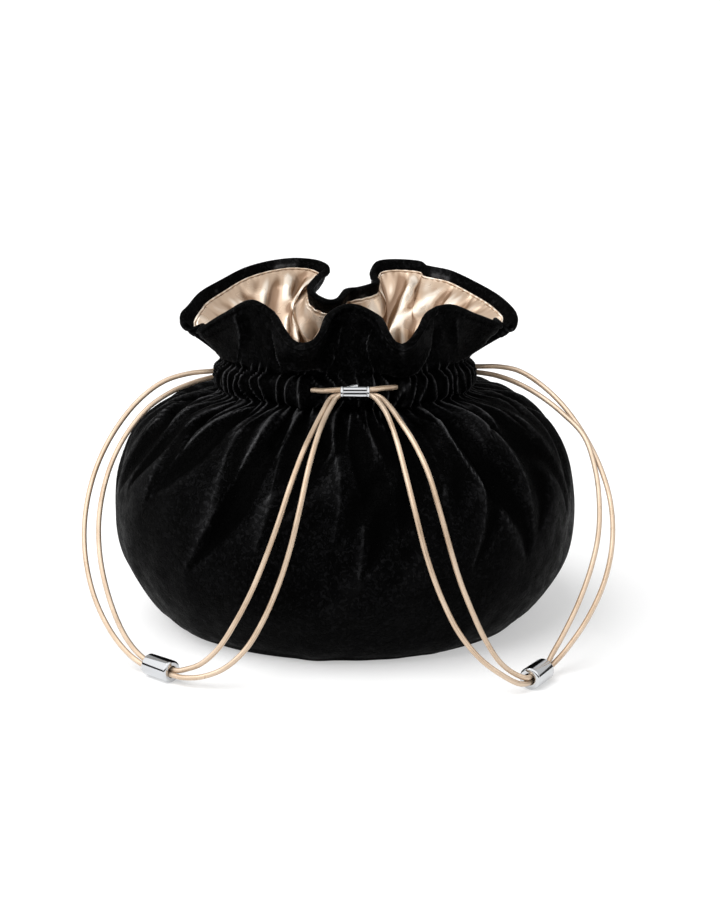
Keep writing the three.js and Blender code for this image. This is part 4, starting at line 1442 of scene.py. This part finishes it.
# %% Floor
def glowing(name, shade, glow):
    """A matt finish that gives off some light of its own."""
    return Finish(name).surface(
        Base_Color=(shade, shade, shade, 1), Roughness=0.9,
        Emission_Color=(1, 1, 1, 1), Emission_Strength=glow,
    )


def make_floor():
    mesh = bmesh.new()
    bmesh.ops.create_grid(mesh, x_segments=1, y_segments=1, size=40)
    walls = bmesh.ops.extrude_edge_only(mesh, edges=mesh.edges[:])["geom"]
    tops = [v for v in walls if isinstance(v, bmesh.types.BMVert)]
    bmesh.ops.translate(mesh, vec=(0, 0, 6), verts=tops)
    bmesh.ops.reverse_faces(mesh, faces=[f for f in mesh.faces if abs(f.normal.z) < 0.5])
    data = mesh_data(mesh, "table_top")
    data.materials.append(glowing("pale_table", 0.55, 0.44))
    floor = put_in_scene("table_top", data)
    return floor


floor = make_floor()
print("floor:", floor.name)

# %% [markdown]
# ## Cards for the metal
# Metal in a white room looks white all over. A photographer sets dark and bright cards beside it, and
# their reflections draw the dark lines and the bright bands that make it look like metal. These
# cards are seen by reflections alone, so they neither show nor cast a shadow.

# %% Cards for the metal
def make_card(name, middle, size, turn, tilt, shade, glow):
    """A card that only reflections see, as a photographer sets up beside polished metal."""
    mesh = bmesh.new()
    bmesh.ops.create_grid(mesh, x_segments=1, y_segments=1, size=0.5)
    turned = Matrix.Rotation(math.radians(turn), 4, "Z") @ Matrix.Rotation(math.radians(tilt), 4, "X")
    place = Matrix.Translation(middle) @ turned @ Matrix.Diagonal((*size, 1, 1))
    bmesh.ops.transform(mesh, matrix=place, verts=mesh.verts[:])
    data = mesh_data(mesh, name)
    data.materials.append(glowing(name, shade, glow))
    card = put_in_scene(name, data)
    card.visible_camera = False
    card.visible_diffuse = False
    card.visible_shadow = False


CARDS = [
    # name, middle, size, turn and tilt in degrees, shade, glow
    ("dark_front_card", (0, -1.6, 0.28), (3.0, 0.42), 0, 90, 0.01, 0),
    ("dark_left_card", (-1.6, -0.1, 0.19), (2.6, 0.34), 90, 90, 0.01, 0),
    ("dark_right_card", (1.3, 0.92, 0.19), (2.2, 0.34), -55, 90, 0.01, 0),
    ("bright_left_card", (-1.7, -0.1, 1.75), (2.6, 2.75), 90, 90, 0.1, 1.3),
    ("bright_right_card", (1.35, 0.95, 0.95), (2.2, 1.15), -55, 90, 0.1, 0.6),
    ("soft_box", (-0.2, -0.9, 1.6), (5.0, 2.6), 0, 35, 0.1, 1.35),
]
for card in CARDS:
    make_card(*card)
print("cards:", len(CARDS))

# %% [markdown]
# ## Lights
# One very wide sun stands for a large soft lamp above, in front and to the left. The white world
# fills the shadows, as pale walls do. The standard view keeps the white of the table white.

# %% Lights
def add_sun(name, direction, strength, spread):
    light = bpy.data.lights.new(name, "SUN")
    light.energy = strength
    light.angle = math.radians(spread)
    lamp = put_in_scene(name, light)
    lamp.rotation_euler = Vector(direction).to_track_quat("-Z", "Y").to_euler()


add_sun("key_light", (0.52, 0.32, -0.9), 3.6, 62)
world = bpy.data.worlds.new("studio")
bpy.context.scene.world = world
world.use_nodes = True
background = world.node_tree.nodes["Background"]
background.inputs["Color"].default_value = (1, 1, 1, 1)
background.inputs["Strength"].default_value = 0.5
scene = bpy.context.scene
scene.view_settings.view_transform = "Standard"
